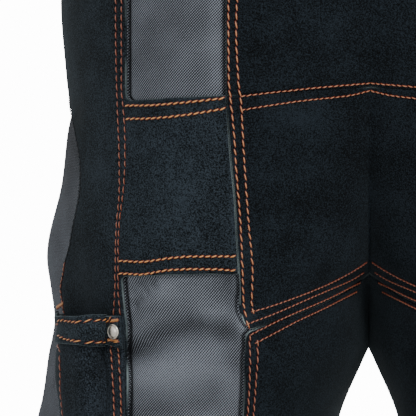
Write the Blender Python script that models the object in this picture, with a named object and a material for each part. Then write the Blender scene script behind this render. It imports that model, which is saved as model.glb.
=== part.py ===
"""A split-leg farrier apron in the shape it is worn in: grey twill legs, suede panels sewn over them,
a knife pocket, a webbing waist belt and a strap behind each thigh.

+Z is up, the front faces -Y and the wearer's right leg is at -X. The origin is the middle of the waist
belt's loop, halfway up the belt. Every size is in millimetres until a mesh is made in metres."""

import math

import bmesh
import bpy
import numpy as np
from mathutils import Matrix, Vector

MM = 0.001
GAP = 0.3  # between two pieces, across a seam or from one layer to the next
TWILL = 1.2  # thickness of the twill legs
SUEDE = 1.8  # thickness of every suede panel
WEBBING = 1.6  # thickness of the belt and straps
SUEDE_LIFT = GAP  # how far a suede panel's back lies off the twill's outer face
POCKET_LIFT = SUEDE_LIFT + SUEDE + GAP

# The leg's sections, from the waist down. outer_x and inner_x are its widest places, front_x its foremost
# line, front_y and side_y the depth of that line and of the widest place. outer_turn and inner_turn are the
# angles round the leg, from its foremost line, at which the cloth ends.
SECTION_COLUMNS = (
    "z", "outer_x", "front_x", "inner_x", "front_y", "side_y", "outer_turn", "inner_turn",
)
SECTIONS = (
    (30, -160.0, -42, 0.0, -111, 0, 112, 10),
    (0, -163.0, -45, 0.0, -113, 0, 112, 11),
    (-60, -168.0, -56, 0.0, -117, 1, 112, 15),
    (-140, -169.0, -74, 0.0, -118, 2, 112, 23),
    (-196, -165.4, -82, 0.0, -115, 2, 116, 34),
    (-215, -168.0, -83, 0.0, -113, 2, 118, 40),
    (-240, -171.0, -85, 0.0, -111, 3, 120, 48),
    (-284, -179.2, -88, 0.0, -106, 4, 122, 60),
    (-300, -176.6, -89, -3.2, -105, 4, 122, 76),
    (-318, -175.6, -90, -3.6, -103, 4, 124, 92),
    (-335, -178.2, -91, -4.4, -101, 5, 126, 98),
    (-371, -182.2, -97, -19.5, -98, 6, 128, 103),
    (-440, -183.0, -106, -33.0, -95, 6, 130, 108),
    (-520, -180.0, -112, -43.0, -93, 6, 130, 110),
    (-600, -177.0, -116, -51.0, -82, 10, 126, 108),
    (-700, -178.0, -119, -57.0, -74, 16, 120, 106),
    (-800, -184.0, -121, -58.0, -76, 18, 116, 104),
)

# Where the seams that run down the leg lie: the side panel's outer edge as a turn round the leg, its front
# edge and the lap panel's outer edge as seen from the front.
SEAM_COLUMNS = ("z", "side_turn", "front_x", "lap_x")
SEAMS = (
    (30, -100, -131.0, -78.0),
    (-140, -102, -135.6, -80.3),
    (-190, -95, -135.5, -80.1),
    (-205, -80, -135.4, -79.2),
    (-231, -67, -135.2, -77.2),
    (-251, -61, -136.2, -75.2),
    (-273, -59, -138.0, -74.0),
    (-290, -62, -138.6, -72.9),
    (-302, -71, -137.8, -72.4),
    (-312, -79, -136.8, -71.8),
    (-323, -77, -134.8, -69.4),
    (-345, -70, -134.2, -69.4),
    (-371, -63, -134.2, -70.4),
    (-480, -62, -136.0, -78.0),
    (-800, -62, -138.0, -88.0),
)

# The seams and edges that run across the leg: their height at each of the leg's lengthwise lines, and the
# number of rows of cells from the seam before.
ACROSS = {
    # edge, side, front, lap, inner, cells
    "top": (26, 26, 26, 26, 26, 0),
    "band_foot": (-24, -24, -24, -24, -24, 2),
    "cross": (-196, -196, -196, -193, -188, 6),
    "patch_foot": (-296, -295, -293.5, -291.8, -262, 5),
    "slant": (-314, -314.4, -315.4, -322.8, -287, 2),
    "band_edge": (-330, -329.8, -331.8, -340, -310, 1),
    "pocket_foot": (-478, -478, -478, -472, -452, 6),
    "side_foot": (-494, -494, -494, -490, -472, 1),
    "hem": (-794, -798, -800, -800, -792, 8),
}
# Columns of cells between the five lengthwise lines. Those on the side panel hold the pocket's flanges.
DOWN_CELLS = (3, 8, 5, 8)
PANEL_SHARES = (0.04, 0.20, 0.35, 0.50, 0.65, 0.79, 0.955, 1.0)

# The twill of each leg is pieced across, under the suede's cross seam and below the pocket.
LEG_PARTS = {
    "yoke": ("top", "cross"),
    "thigh": ("cross", "pocket_foot"),
    "shin": ("pocket_foot", "hem"),
}

# The largest folds: each runs from one turn and height to another and stands out, or in, by its depth.
FOLDS = (
    # turn_a, z_a, turn_b, z_b, depth, width
    (-62, -300, -58, -400, -9.0, 34),  # hollow behind the knife pocket
    (-96, -196, -70, -204, -2.2, 9),  # nick in the outer edge below the hip
    (-28, -338, 2, -318, -3.0, 9),  # slanting trough across the twill below the patch
    (-20, -352, 6, -334, 2.4, 9),
    (8, -305, 14, -322, -2.4, 8),
    (-30, -300, -18, -308, -1.6, 6),
    (-26, -385, 4, -368, -2.0, 10),
    (-35, -520, 5, -505, -4.5, 12),  # creases above and below the knee
    (-30, -548, 12, -560, -4.0, 12),
    (15, -590, 60, -570, -3.5, 12),
    (-80, -560, -40, -590, -4.0, 14),
    (-95, -380, -100, -470, 4.0, 14),
    (-100, -600, -84, -800, 6.0, 16),  # flutes that open towards the hem
    (-50, -640, -46, -800, -5.0, 16),
    (-8, -660, -6, -800, 3.5, 18),
    (34, -650, 40, -800, -4.0, 14),
    (74, -640, 78, -800, 5.0, 15),
)
ROUND = 1.6  # millimetres round the leg for each degree of turn
FOLD_FADE = 6  # degrees beside the centre line over which folds fade out
LEAST_LEAN = 0.62  # of the cosines by which normals are lengthened beside the centre line

POCKET_COLUMNS = ("z", "depth")
POCKET_DEPTH = (
    (-312, 27.0),
    (-332, 26.0),
    (-371, 20.0),
    (-430, 11.0),
    (-464, 3.0),
    (-472, 0.0),
    (-480, 0.0),
)
POCKET_FLANGES = 0.04, 0.79, 0.955  # the shares of PANEL_SHARES where its arch and its inner flange end
POCKET_LEAN = (-0.25, -0.968)  # direction in which the arch stands off, seen from above
POCKET_SQUARE, POCKET_RISE = 2.4, 0.72  # how square the arch's sides are, and how steep at its feet
RIVET_SHARE = 0.72  # of the way across the inner flange
RIVET_SEAT = 0.1  # more room under its flat foot, where the band curves
RIVET_RADIUS, RIVET_HEIGHT = 4.2, 1.5
RIVET_SIDES, RIVET_RINGS = 16, 3

BELT_WIDTH, BELT_BACK = 38, (3.5, 98)  # the belt's buckle lies here, seen from above
BELT_TUCK = 5  # columns of cells of the twill that hide the belt's sewn end
STRAP_BACK = (-110, 94)
STRAP_TUCKS = {"outer": 1, "inner": 2}
STRAP_ROW = 4  # the strap's row of cells, counted from the pocket band's lower edge
RUN_CELLS = 9  # along the free stretch of a belt or strap
RUN_PULL = 1.15  # how far its curve keeps to the directions of its two ends

# A side-release buckle, along the webbing from the middle of its waist, across it and through it.
BAR, BAR_CORNER, BAR_ROOM = 2.6, 1.95, 0.7  # thickness, reach of its corners, room beside the webbing
HAIRPIN_RADIUS = BAR_CORNER + GAP + WEBBING  # of the webbing's outer face round the bar
HAIRPIN_TURNS = (60, 30, 0, -30, -60, -90)
SOCKET_BAR, PLUG_BAR = -28.5, 21.5  # where the bars lie
SLOT = 4.6  # from the middle of a bar to the body
BODY_WALL, BODY_THICK, BUCKLE_CHAMFER = 5.0, 10.0, 1.5
SOCKET_MOUTH, SOCKET_WALL = 6.0, 2.0
PRONG, PRONG_THICK, PRONG_END = 5.0, 5.0, -15.0
PRONG_ROOT = 2.0  # how deep prongs and tongue start inside the plug's head
WINDOW, WINDOW_LIP = (-14.0, -4.0), 1.0  # the opening in each side of the socket, where a prong's tip shows
TIP_PROUD, TIP_SHORT = 2.4, 2.0
TONGUE, TONGUE_THICK = 8.0, 3.0
TURN_START, WEBBING_TURN = 9.5, 32  # where the webbing's turned-back end meets its run, and where it ends

TWILL_GREY = (0.075, 0.085, 0.098)
SUEDE_TEAL = (0.012, 0.017, 0.021)
WEBBING_BLACK = (0.012, 0.012, 0.013)
PLASTIC_BLACK = (0.016, 0.016, 0.018)
NICKEL = (0.56, 0.55, 0.52)


# ---------------------------------------------------------------- curves and tables


def smooth(x, xs, ys):
    """The curve through the points (xs, ys), with no overshoot between them; xs rises."""
    xs, ys, x = np.asarray(xs, float), np.asarray(ys, float), np.asarray(x, float)
    step = np.diff(xs)
    slope = np.diff(ys) / step
    before, after = slope[:-1], slope[1:]
    total = np.where(before + after == 0, 1, before + after)
    inside = np.where(before * after > 0, 2 * before * after / total, 0)
    tangent = np.concatenate([slope[:1], inside, slope[-1:]])
    i = np.clip(np.searchsorted(xs, x) - 1, 0, len(xs) - 2)
    t = np.clip((x - xs[i]) / step[i], 0, 1)
    rise = ys[i + 1] - ys[i]
    return (
        ys[i]
        + rise * t * t * (3 - 2 * t)
        + step[i] * t * (1 - t) * (tangent[i] * (1 - t) - tangent[i + 1] * t)
    )


def table_value(table, columns, name, z):
    """A table's named column at the heights z; its rows run downwards."""
    rows = np.array(table, float)[::-1]
    return smooth(z, rows[:, 0], rows[:, columns.index(name)])


def section(name, z):
    return table_value(SECTIONS, SECTION_COLUMNS, name, z)


def turn_of(x, z):
    """The turn in degrees at which the leg's front shows at x, seen from the front."""
    front = section("front_x", z)
    end = np.radians(np.minimum(section("inner_turn", z), 90))
    reach = (section("inner_x", z) - front) / np.sin(end)
    half = np.where(x < front, front - section("outer_x", z), reach)
    return np.degrees(np.arcsin(np.clip((x - front) / half, -1, 1)))


def line_turns(z):
    """The turns of the five lengthwise lines at the heights z."""
    return np.stack(
        [
            -section("outer_turn", z),
            table_value(SEAMS, SEAM_COLUMNS, "side_turn", z),
            turn_of(table_value(SEAMS, SEAM_COLUMNS, "front_x", z), z),
            turn_of(table_value(SEAMS, SEAM_COLUMNS, "lap_x", z), z),
            section("inner_turn", z),
        ],
        axis=-1,
    )


def fold_lift(turn, z):
    """How far the folds move the cloth outwards at a turn and a height."""
    lift = np.zeros(np.broadcast(turn, z).shape)
    for turn_a, z_a, turn_b, z_b, depth, width in FOLDS:
        along = np.array([(turn_b - turn_a) * ROUND, z_b - z_a])
        across_x, across_z = (turn - turn_a) * ROUND, z - z_a
        share = np.clip((across_x * along[0] + across_z * along[1]) / (along @ along), 0, 1)
        off = (across_x - share * along[0]) ** 2 + (across_z - share * along[1]) ** 2
        lift = lift + depth * np.exp(-off / width**2)
    return lift


def leg_point(turn, z):
    """Points of the twill's outer face on the right leg at turns in degrees and heights."""
    angle = np.radians(turn)
    front_x, inner_x = section("front_x", z), section("inner_x", z)
    end = np.radians(np.minimum(section("inner_turn", z), 90))
    outer_half = front_x - section("outer_x", z)
    inner_half = (inner_x - front_x) / np.sin(end)
    side_y = section("side_y", z)
    depth = side_y - section("front_y", z)
    half = np.where(turn < 0, outer_half, inner_half)
    lift = fold_lift(turn, z)
    # The folds fade out beside the centre line, where the two legs' cloth is one.
    lift = lift * np.clip((section("inner_turn", z) - turn) / FOLD_FADE, 0, 1)
    length = np.hypot(depth * np.sin(angle), half * np.cos(angle))
    out_x, out_y = depth * np.sin(angle) / length, -half * np.cos(angle) / length
    x = front_x + half * np.sin(angle) + lift * out_x
    y = side_y - depth * np.cos(angle) + lift * out_y
    return np.stack([x, y, np.broadcast_to(z, x.shape)], axis=-1)


# ---------------------------------------------------------------- the garment's grid


def even(cells):
    """Shares of the way along that make so many equal cells."""
    return np.arange(1, cells + 1) / cells


def spread(keys, shares):
    """Values between the keys along the last axis, at the shares of the way from each key to the next."""
    parts = [keys[..., :1]]
    for i, share in enumerate(shares):
        share = np.asarray(share)
        parts.append(keys[..., i : i + 1] * (1 - share) + keys[..., i + 1 : i + 2] * share)
    return np.concatenate(parts, axis=-1)


DOWN_SHARES = [even(cells) for cells in DOWN_CELLS]
DOWN_SHARES[1] = np.array(PANEL_SHARES)


def leg_grid():
    """The turns and heights of the right leg's grid: rows from the top, columns from the outer edge."""
    heights = np.array([row[:5] for row in ACROSS.values()], float)
    rows = [even(row[5]) for row in list(ACROSS.values())[1:]]
    z = spread(spread(heights.T, rows).T, DOWN_SHARES)
    column = spread(np.arange(5.0), DOWN_SHARES)
    turn = np.empty_like(z)
    for j in range(z.shape[1]):
        turn[:, j] = [np.interp(column[j], range(5), turns) for turns in line_turns(z[:, j])]
    return turn, z


def grid_normals(points, joined_rows):
    """Unit normals that point out of the leg, lengthened where the cloth bends so that walls keep their
    thickness. In the joined rows, the last column lies on the garment's centre line."""
    down = np.gradient(points, axis=0)
    round_leg = np.gradient(points, axis=1)
    normals = np.cross(down, round_leg)
    normals /= np.linalg.norm(normals, axis=-1, keepdims=True)
    centre = normals[:joined_rows, -1]
    side_on = centre.copy()
    centre[:, 0] = 0
    centre /= np.linalg.norm(centre, axis=-1, keepdims=True)
    centre /= np.clip((centre * side_on).sum(-1, keepdims=True), LEAST_LEAN, 1)
    return normals


def row_of(name):
    """The grid row of a named seam."""
    names = list(ACROSS)
    return sum(ACROSS[n][5] for n in names[: names.index(name) + 1])


def column_of(line):
    """The grid column of a lengthwise line, counted from the outer edge."""
    return sum(DOWN_CELLS[:line])


EDGE, SIDE, FRONT, LAP, INNER = range(5)
TURN, HEIGHT = leg_grid()
POINTS = leg_point(TURN, HEIGHT)
POINTS[: row_of("slant") + 1, -1, 0] = 0
NORMALS = grid_normals(POINTS, row_of("slant") + 1)


# ---------------------------------------------------------------- meshes


def material(name, colour, roughness, metallic=0.0):
    made = bpy.data.materials.get(name)
    if made is None:
        made = bpy.data.materials.new(name)
        made.use_nodes = True
        shader = made.node_tree.nodes["Principled BSDF"]
        shader.inputs["Base Color"].default_value = (*colour, 1)
        shader.inputs["Roughness"].default_value = roughness
        shader.inputs["Metallic"].default_value = metallic
    return made


def twill():
    return material("grey_twill", TWILL_GREY, 0.85)


def suede():
    return material("suede", SUEDE_TEAL, 0.95)


def webbing():
    return material("webbing", WEBBING_BLACK, 0.8)


def plastic():
    return material("moulded_plastic", PLASTIC_BLACK, 0.45)


def nickel():
    return material("nickel", NICKEL, 0.25, 1.0)


def add_object(name, points, faces, finish, round_angle=40):
    """One closed body from points in millimetres and its faces."""
    mesh = bpy.data.meshes.new(name)
    mesh.from_pydata([tuple(p) for p in np.asarray(points) * MM], [], faces)
    mesh.materials.append(finish)
    obj = bpy.data.objects.new(name, mesh)
    bpy.context.scene.collection.objects.link(obj)
    face_outwards(mesh)
    mesh.shade_smooth()
    mesh.set_sharp_from_angle(angle=math.radians(round_angle))
    return obj


def face_outwards(mesh):
    shape = bmesh.new()
    shape.from_mesh(mesh)
    bmesh.ops.recalc_face_normals(shape, faces=shape.faces[:])
    if shape.calc_volume(signed=True) < 0:
        bmesh.ops.reverse_faces(shape, faces=shape.faces[:])
    shape.to_mesh(mesh)
    shape.free()


def wall_faces(rows, columns, centre):
    """Triangles of a closed wall whose points are an outer grid, then the same grid of its inner face. Past
    the centre column the cells are halved the other way, so that the wall is the same on both sides."""
    def at(layer, i, j):
        return (layer * rows + i) * columns + j

    faces = []
    for i in range(rows - 1):
        for j in range(columns - 1):
            for layer in (0, 1):
                a, b = at(layer, i, j), at(layer, i, j + 1)
                c, d = at(layer, i + 1, j + 1), at(layer, i + 1, j)
                faces += [(a, b, c), (a, c, d)] if j < centre else [(a, b, d), (b, c, d)]
    rim = [(0, j) for j in range(columns)] + [(i, columns - 1) for i in range(1, rows)]
    rim += [(rows - 1, j) for j in range(columns - 2, -1, -1)] + [(i, 0) for i in range(rows - 2, 0, -1)]
    for (i, j), (k, m) in zip(rim, rim[1:] + rim[:1]):
        faces.append((at(0, i, j), at(0, k, m), at(1, k, m), at(1, i, j)))
    return faces


def drawn_in(grid, amount):
    """The grid with its rim moved in by an amount, along the cloth."""
    grid = grid.copy()
    for edge, beside in ((0, 1), (-1, -2)):
        for view in (grid, grid.swapaxes(0, 1)):
            step = view[beside] - view[edge]
            view[edge] += step * (amount / np.linalg.norm(step, axis=-1, keepdims=True))
    return grid


def wall(name, points, normals, low, high, finish, centre=None):
    """A wall between two distances from a grid of points, half a gap short of the grid's rim."""
    outer = drawn_in(points + normals * high, GAP / 2)
    inner = drawn_in(points + normals * low, GAP / 2)
    rows, columns = points.shape[:2]
    both = np.concatenate([outer.reshape(-1, 3), inner.reshape(-1, 3)])
    return add_object(name, both, wall_faces(rows, columns, centre or columns), finish)


def mirrored(grid):
    """The left leg's points or normals from the right leg's."""
    return grid * np.array([-1, 1, 1])


def panel(name, rows, lines, low, high, finish, left=False):
    """A panel over the cells between two named seams and two lengthwise lines of one leg."""
    window = (
        slice(row_of(rows[0]), row_of(rows[1]) + 1),
        slice(column_of(lines[0]), column_of(lines[1]) + 1),
    )
    points, normals = POINTS[window], NORMALS[window]
    if left:
        points, normals = mirrored(points), mirrored(normals)
    return wall(name, points, normals, low, high, finish)


def joined_panel(name, rows, line, low, high, finish):
    """A panel that crosses the garment's centre, from a lengthwise line of one leg to that of the other."""
    window = (slice(row_of(rows[0]), row_of(rows[1]) + 1), slice(column_of(line), None))

    def across(grid):
        return np.concatenate([grid, mirrored(grid)[:, -2::-1]], axis=1)

    points, normals = across(POINTS[window]), across(NORMALS[window])
    return wall(name, points, normals, low, high, finish, centre=points.shape[1] // 2)


# ---------------------------------------------------------------- the legs and their suede


def make_legs():
    for side, left in (("right", False), ("left", True)):
        for part, rows in LEG_PARTS.items():
            panel(f"{part}_{side}", rows, (EDGE, INNER), -TWILL, 0, twill(), left)


def make_suede():
    low, high = SUEDE_LIFT, SUEDE_LIFT + SUEDE
    for side, left in (("right", False), ("left", True)):
        panel(f"side_{side}", ("band_foot", "side_foot"), (SIDE, FRONT), low, high, suede(), left)
        panel(f"lower_{side}", ("slant", "hem"), (LAP, INNER), low, high, suede(), left)
    panel("patch_right", ("cross", "patch_foot"), (FRONT, LAP), low, high, suede())
    joined_panel("lap_upper", ("band_foot", "cross"), LAP, low, high, suede())
    joined_panel("lap_middle", ("cross", "slant"), LAP, low, high, suede())
    joined_panel("waistband", ("top", "band_foot"), EDGE, low, high, suede())


# ---------------------------------------------------------------- the knife pocket


def pocket_grid():
    """Points and outward normals of the pocket front's inner face. Its rows are the leg's own, from the rim
    down, and its columns too, with one more in the middle of each of the arch's cells."""
    arch_start, arch_end, flange_end = POCKET_FLANGES
    shares = [0.0, arch_start]
    for share in PANEL_SHARES[1 : PANEL_SHARES.index(arch_end) + 1]:
        shares += [(shares[-1] + share) / 2, share]
    shares.append(flange_end)
    rows = slice(row_of("slant"), row_of("pocket_foot") + 1)
    columns = slice(column_of(SIDE), column_of(FRONT) + 1)
    panel_points = (POINTS + NORMALS * POCKET_LIFT)[rows, columns]
    at = np.concatenate([[0.0], PANEL_SHARES])
    points = np.array([[[np.interp(u, at, row[:, axis]) for axis in range(3)] for u in shares]
                       for row in panel_points])
    part = (np.array(shares) - arch_start) / (arch_end - arch_start)
    rise = np.clip(1 - np.abs(2 * part - 1) ** POCKET_SQUARE, 0, 1) ** POCKET_RISE
    depth = table_value(POCKET_DEPTH, POCKET_COLUMNS, "depth", points[..., 2]) * rise
    points[..., :2] += depth[..., None] * np.array(POCKET_LEAN)
    normals = np.cross(np.gradient(points, axis=0), np.gradient(points, axis=1))
    return points, normals / np.linalg.norm(normals, axis=-1, keepdims=True)


def make_pocket():
    points, normals = pocket_grid()
    wall("pocket_front", points, normals, 0, SUEDE, suede())
    band = row_of("band_edge") - row_of("slant") + 1
    low = SUEDE + GAP
    wall("pocket_band", points[:band], normals[:band], low, low + SUEDE, suede())


def make_rivet():
    """The domed head at the inner end of the pocket's band."""
    row, column = row_of("slant"), column_of(SIDE) + PANEL_SHARES.index(POCKET_FLANGES[1]) + 1
    window = slice(row, row + 2), slice(column, column + 2)
    out = Vector(NORMALS[window].mean(axis=(0, 1))).normalized()
    middle = POINTS[window].mean(axis=0)
    middle = middle[0] * (1 - RIVET_SHARE) + middle[1] * RIVET_SHARE
    seat = Vector(middle) + out * (POCKET_LIFT + 2 * SUEDE + 2 * GAP + RIVET_SEAT)
    sides, rings = RIVET_SIDES, RIVET_RINGS
    points = []
    for i in range(rings):
        angle = math.radians(90 * i / rings)
        radius, height = RIVET_RADIUS * math.cos(angle), RIVET_HEIGHT * math.sin(angle)
        for k in range(sides):
            around = math.tau * k / sides
            points.append((radius * math.cos(around), radius * math.sin(around), height))
    points += [(0, 0, RIVET_HEIGHT), (0, 0, 0)]
    crown, foot = len(points) - 2, len(points) - 1
    faces = []
    for k in range(sides):
        m = (k + 1) % sides
        faces.append((foot, m, k))
        faces.append((crown, (rings - 1) * sides + k, (rings - 1) * sides + m))
        for i in range(rings - 1):
            faces.append((i * sides + k, i * sides + m, (i + 1) * sides + m, (i + 1) * sides + k))
    place = Matrix.Translation(seat) @ out.to_track_quat("Z", "Y").to_matrix().to_4x4()
    add_object("pocket_rivet", [place @ Vector(p) for p in points], faces, nickel(), 60)


# ---------------------------------------------------------------- belt, straps and buckles


def curve_between(a, a_way, b, b_way):
    """Points of a smooth curve from a to b that leaves and arrives in the given directions."""
    reach = np.linalg.norm(b - a) * RUN_PULL
    a_way, b_way = a_way / np.linalg.norm(a_way) * reach, b_way / np.linalg.norm(b_way) * reach
    t = np.linspace(0, 1, RUN_CELLS + 1)[:, None]
    return (
        a * (2 * t**3 - 3 * t**2 + 1)
        + a_way * (t**3 - 2 * t**2 + t)
        + b * (3 * t**2 - 2 * t**3)
        + b_way * (t**3 - t**2)
    )


def hairpin(bar, way, z):
    """The webbing's outer face from the bar's near side round to the wearer's side. The wearer is at -Y, and
    way is +1 or -1 along X."""
    turns = np.radians(HAIRPIN_TURNS)
    x = bar[0] + way * HAIRPIN_RADIUS * np.cos(turns)
    y = bar[1] + HAIRPIN_RADIUS * np.sin(turns)
    return np.stack([x, y, np.full(len(turns), z)], axis=-1)


def left_of(points, way):
    """Level unit vectors to the left of a line of points, or to its right where way is -1."""
    along = np.gradient(points, axis=0)
    along[:, 2] = 0
    along /= np.linalg.norm(along, axis=-1, keepdims=True)
    return np.stack([-along[:, 1], along[:, 0], np.zeros(len(along))], axis=-1) * way


def turned_back(run, way):
    """The end of the webbing, sewn down along the wearer's side of the run it comes from."""
    cell = np.linalg.norm(run[-1] - run[-2])
    first = math.ceil(TURN_START / cell)
    last = max(first + 1, round(WEBBING_TURN / cell))
    beside = run - left_of(run, way) * (2 * WEBBING + GAP)
    return beside[-1 - last : -first][::-1]


def webbing_run(name, tucked, bar, way, heights):
    """Webbing from its sewn end, given row by row towards the cloth's edge, round to a buckle's bar."""
    rows = []
    for line, z in zip(tucked, heights):
        leave = (line[-1] - line[-2]) * (1, 1, 0)
        over_bar = np.array([bar[0], bar[1] + HAIRPIN_RADIUS, z])
        run = curve_between(line[-1], leave, over_bar, np.array([way, 0.0, 0.0]))
        rows.append(np.concatenate([line, run[1:], hairpin(bar, way, z), turned_back(run, way)]))
    points = np.array(rows)
    outward = np.array([left_of(row, way) for row in rows])
    wall(name, points, outward, -WEBBING, 0, webbing())


UNDER_TWILL = POINTS - NORMALS * (TWILL + GAP)


def under_twill(columns, heights):
    """Rows of points just inside the twill's inner face, along some of its columns at some heights."""
    lines = [UNDER_TWILL[::-1, column] for column in columns]
    return np.array([
        [[np.interp(z, line[:, 2], line[:, axis]) for axis in range(3)] for line in lines]
        for z in heights
    ])


def box(name, low, high, chamfer=0.0):
    """A block between two corners, in millimetres."""
    mesh = bpy.data.meshes.new(name)
    shape = bmesh.new()
    bmesh.ops.create_cube(shape, size=1)
    low, high = Vector(low) * MM, Vector(high) * MM
    bmesh.ops.scale(shape, vec=high - low, verts=shape.verts)
    bmesh.ops.translate(shape, vec=(low + high) / 2, verts=shape.verts)
    if chamfer:
        bmesh.ops.bevel(shape, geom=shape.edges[:], offset=chamfer * MM, segments=1, affect="EDGES")
    shape.to_mesh(mesh)
    shape.free()
    obj = bpy.data.objects.new(name, mesh)
    bpy.context.scene.collection.objects.link(obj)
    return obj


def combine(obj, operation, blocks):
    """Adds the blocks to an object, or cuts them from it."""
    for number, (low, high) in enumerate(blocks):
        other = box(f"{obj.name}_{operation.lower()}_{number}", low, high)
        other.hide_render = True
        other.display_type = "WIRE"
        change = obj.modifiers.new(other.name, "BOOLEAN")
        change.object, change.operation, change.solver = other, operation, "EXACT"


def webbing_slot(bar, inward, half):
    """The blocks to cut round a buckle's bar; inward is the way from the bar to the buckle's body."""
    slot = sorted((bar + inward * BAR / 2, bar + inward * SLOT))
    around = sorted((bar - inward * BAR, bar + inward * SLOT))
    deep = BODY_THICK
    return [
        ((slot[0], -deep, -half), (slot[1], deep, half)),
        ((around[0], BAR / 2, -half), (around[1], deep, half)),
        ((around[0], -deep, -half), (around[1], -BAR / 2, half)),
    ]


def make_buckle(name, width, place):
    """A closed side-release buckle for webbing of a width: X runs along the webbing, Z across it."""
    half = width / 2 + BAR_ROOM
    body, thick = half + BODY_WALL, BODY_THICK / 2
    hollow, inside = half - GAP, thick - SOCKET_WALL
    socket = box(f"{name}_socket", (SOCKET_BAR - BAR / 2, -thick, -body), (SOCKET_MOUTH, thick, body),
                 BUCKLE_CHAMFER)
    plug = box(f"{name}_plug", (SOCKET_MOUTH + GAP, -thick, -body), (PLUG_BAR + BAR / 2, thick, body),
               BUCKLE_CHAMFER)
    low, high = WINDOW
    hollow_start, past = SOCKET_BAR + SLOT + SOCKET_WALL, BODY_THICK
    combine(socket, "DIFFERENCE", [
        ((hollow_start, -inside, -hollow), (SOCKET_MOUTH + past, inside, hollow)),
        ((low, -inside, hollow - WINDOW_LIP), (high, inside, body + past)),
        ((low, -inside, -body - past), (high, inside, WINDOW_LIP - hollow)),
    ] + webbing_slot(SOCKET_BAR, 1, half))
    reach, deep, root = hollow - GAP, PRONG_THICK / 2, SOCKET_MOUTH + PRONG_ROOT
    blocks = [((PRONG_END, -TONGUE_THICK / 2, -TONGUE / 2), (root, TONGUE_THICK / 2, TONGUE / 2))]
    for side in (-1, 1):
        across = sorted((side * (reach - PRONG), side * reach))
        blocks.append(((PRONG_END, -deep, across[0]), (root, deep, across[1])))
        across = sorted((side * (reach - WINDOW_LIP), side * (reach + TIP_PROUD)))
        blocks.append(((low + GAP, -deep, across[0]), (high - TIP_SHORT, deep, across[1])))
    combine(plug, "UNION", blocks)
    combine(plug, "DIFFERENCE", webbing_slot(PLUG_BAR, -1, half))
    for piece in (socket, plug):
        piece.data.materials.append(plastic())
        piece.location = Vector(place) * MM
        for change in piece.modifiers:
            change.object.location = piece.location


def make_belt():
    """The waist belt: two runs of webbing from under the waistband's ends to the buckle behind."""
    x, y = BELT_BACK
    heights = (BELT_WIDTH / 2, POINTS[1, 0, 2], -BELT_WIDTH / 2)
    tucked = under_twill(range(BELT_TUCK, -1, -1), heights)
    webbing_run("belt_right", tucked, (x + SOCKET_BAR, y), 1, heights)
    webbing_run("belt_left", mirrored(tucked), (x + PLUG_BAR, y), -1, heights)
    make_buckle("belt", BELT_WIDTH, (x, y, 0))


def make_straps():
    """The strap behind each thigh, from the leg's outer edge to its inner edge through a buckle."""
    first = row_of("band_edge") + STRAP_ROW
    beside = UNDER_TWILL[first : first + 2]
    outer = beside[:, STRAP_TUCKS["outer"] :: -1]
    inner = beside[:, -1 - STRAP_TUCKS["inner"] :]
    heights = outer[:, -1, 2]
    width, middle = heights[0] - heights[1], heights.mean()
    x, y = STRAP_BACK
    for side, way in (("right", 1), ("left", -1)):
        turned = np.array([way, 1, 1])
        bars = ((x * way + SOCKET_BAR, y), (x * way + PLUG_BAR, y))
        outer_bar, inner_bar = bars if way > 0 else bars[::-1]
        webbing_run(f"strap_outer_{side}", outer * turned, outer_bar, way, heights)
        webbing_run(f"strap_inner_{side}", inner * turned, inner_bar, -way, heights)
        make_buckle(f"strap_{side}", width, (x * way, y, middle))


def remove_startup_objects():
    for obj in list(bpy.data.objects):
        bpy.data.objects.remove(obj, do_unlink=True)


def main():
    remove_startup_objects()
    make_legs()
    make_suede()
    make_pocket()
    make_rivet()
    make_belt()
    make_straps()


main()
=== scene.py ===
"""The looks of a split-leg farrier apron: stitched suede over grey twill legs, a knife pocket, a webbing
belt and thigh straps, in a plain pale studio."""

import math

import bpy
import numpy as np
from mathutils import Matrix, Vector
from mathutils.kdtree import KDTree


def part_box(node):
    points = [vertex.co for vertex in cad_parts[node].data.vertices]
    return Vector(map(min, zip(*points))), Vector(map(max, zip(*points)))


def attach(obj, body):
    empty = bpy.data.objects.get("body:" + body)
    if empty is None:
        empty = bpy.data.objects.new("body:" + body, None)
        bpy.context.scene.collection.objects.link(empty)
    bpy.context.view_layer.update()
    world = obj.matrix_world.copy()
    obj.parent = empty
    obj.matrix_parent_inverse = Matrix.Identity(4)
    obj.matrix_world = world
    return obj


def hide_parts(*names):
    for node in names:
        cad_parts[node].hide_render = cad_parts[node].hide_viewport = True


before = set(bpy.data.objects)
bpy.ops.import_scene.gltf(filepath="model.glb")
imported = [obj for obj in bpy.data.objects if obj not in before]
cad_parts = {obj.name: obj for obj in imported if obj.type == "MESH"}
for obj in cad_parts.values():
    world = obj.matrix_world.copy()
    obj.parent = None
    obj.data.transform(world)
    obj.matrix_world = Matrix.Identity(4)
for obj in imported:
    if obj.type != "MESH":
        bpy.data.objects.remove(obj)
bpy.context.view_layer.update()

MM = 0.001
GAP = 0.3  # between two pieces, across a seam or from one layer to the next
TWILL = 1.2
SUEDE = 1.8
WEBBING = 1.6
SUEDE_LIFT = GAP  # how far a suede panel's back lies off the twill's outer face
FACE = SUEDE_LIFT + SUEDE  # how far its face does
POCKET_LIFT = FACE + GAP

# The camera looks along +Y. Its picture is square and shows this point in its middle.
PICTURE_PX, PX_PER_MM = 416, 1.8
VIEW_X, VIEW_Y, VIEW_Z = -90.0, -85.0, -255.6
VIEW_DISTANCE = 10000.0
SENSOR = 36.0

FLOOR_Z, FLOOR_RADIUS = -860.0, 5000.0

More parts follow.
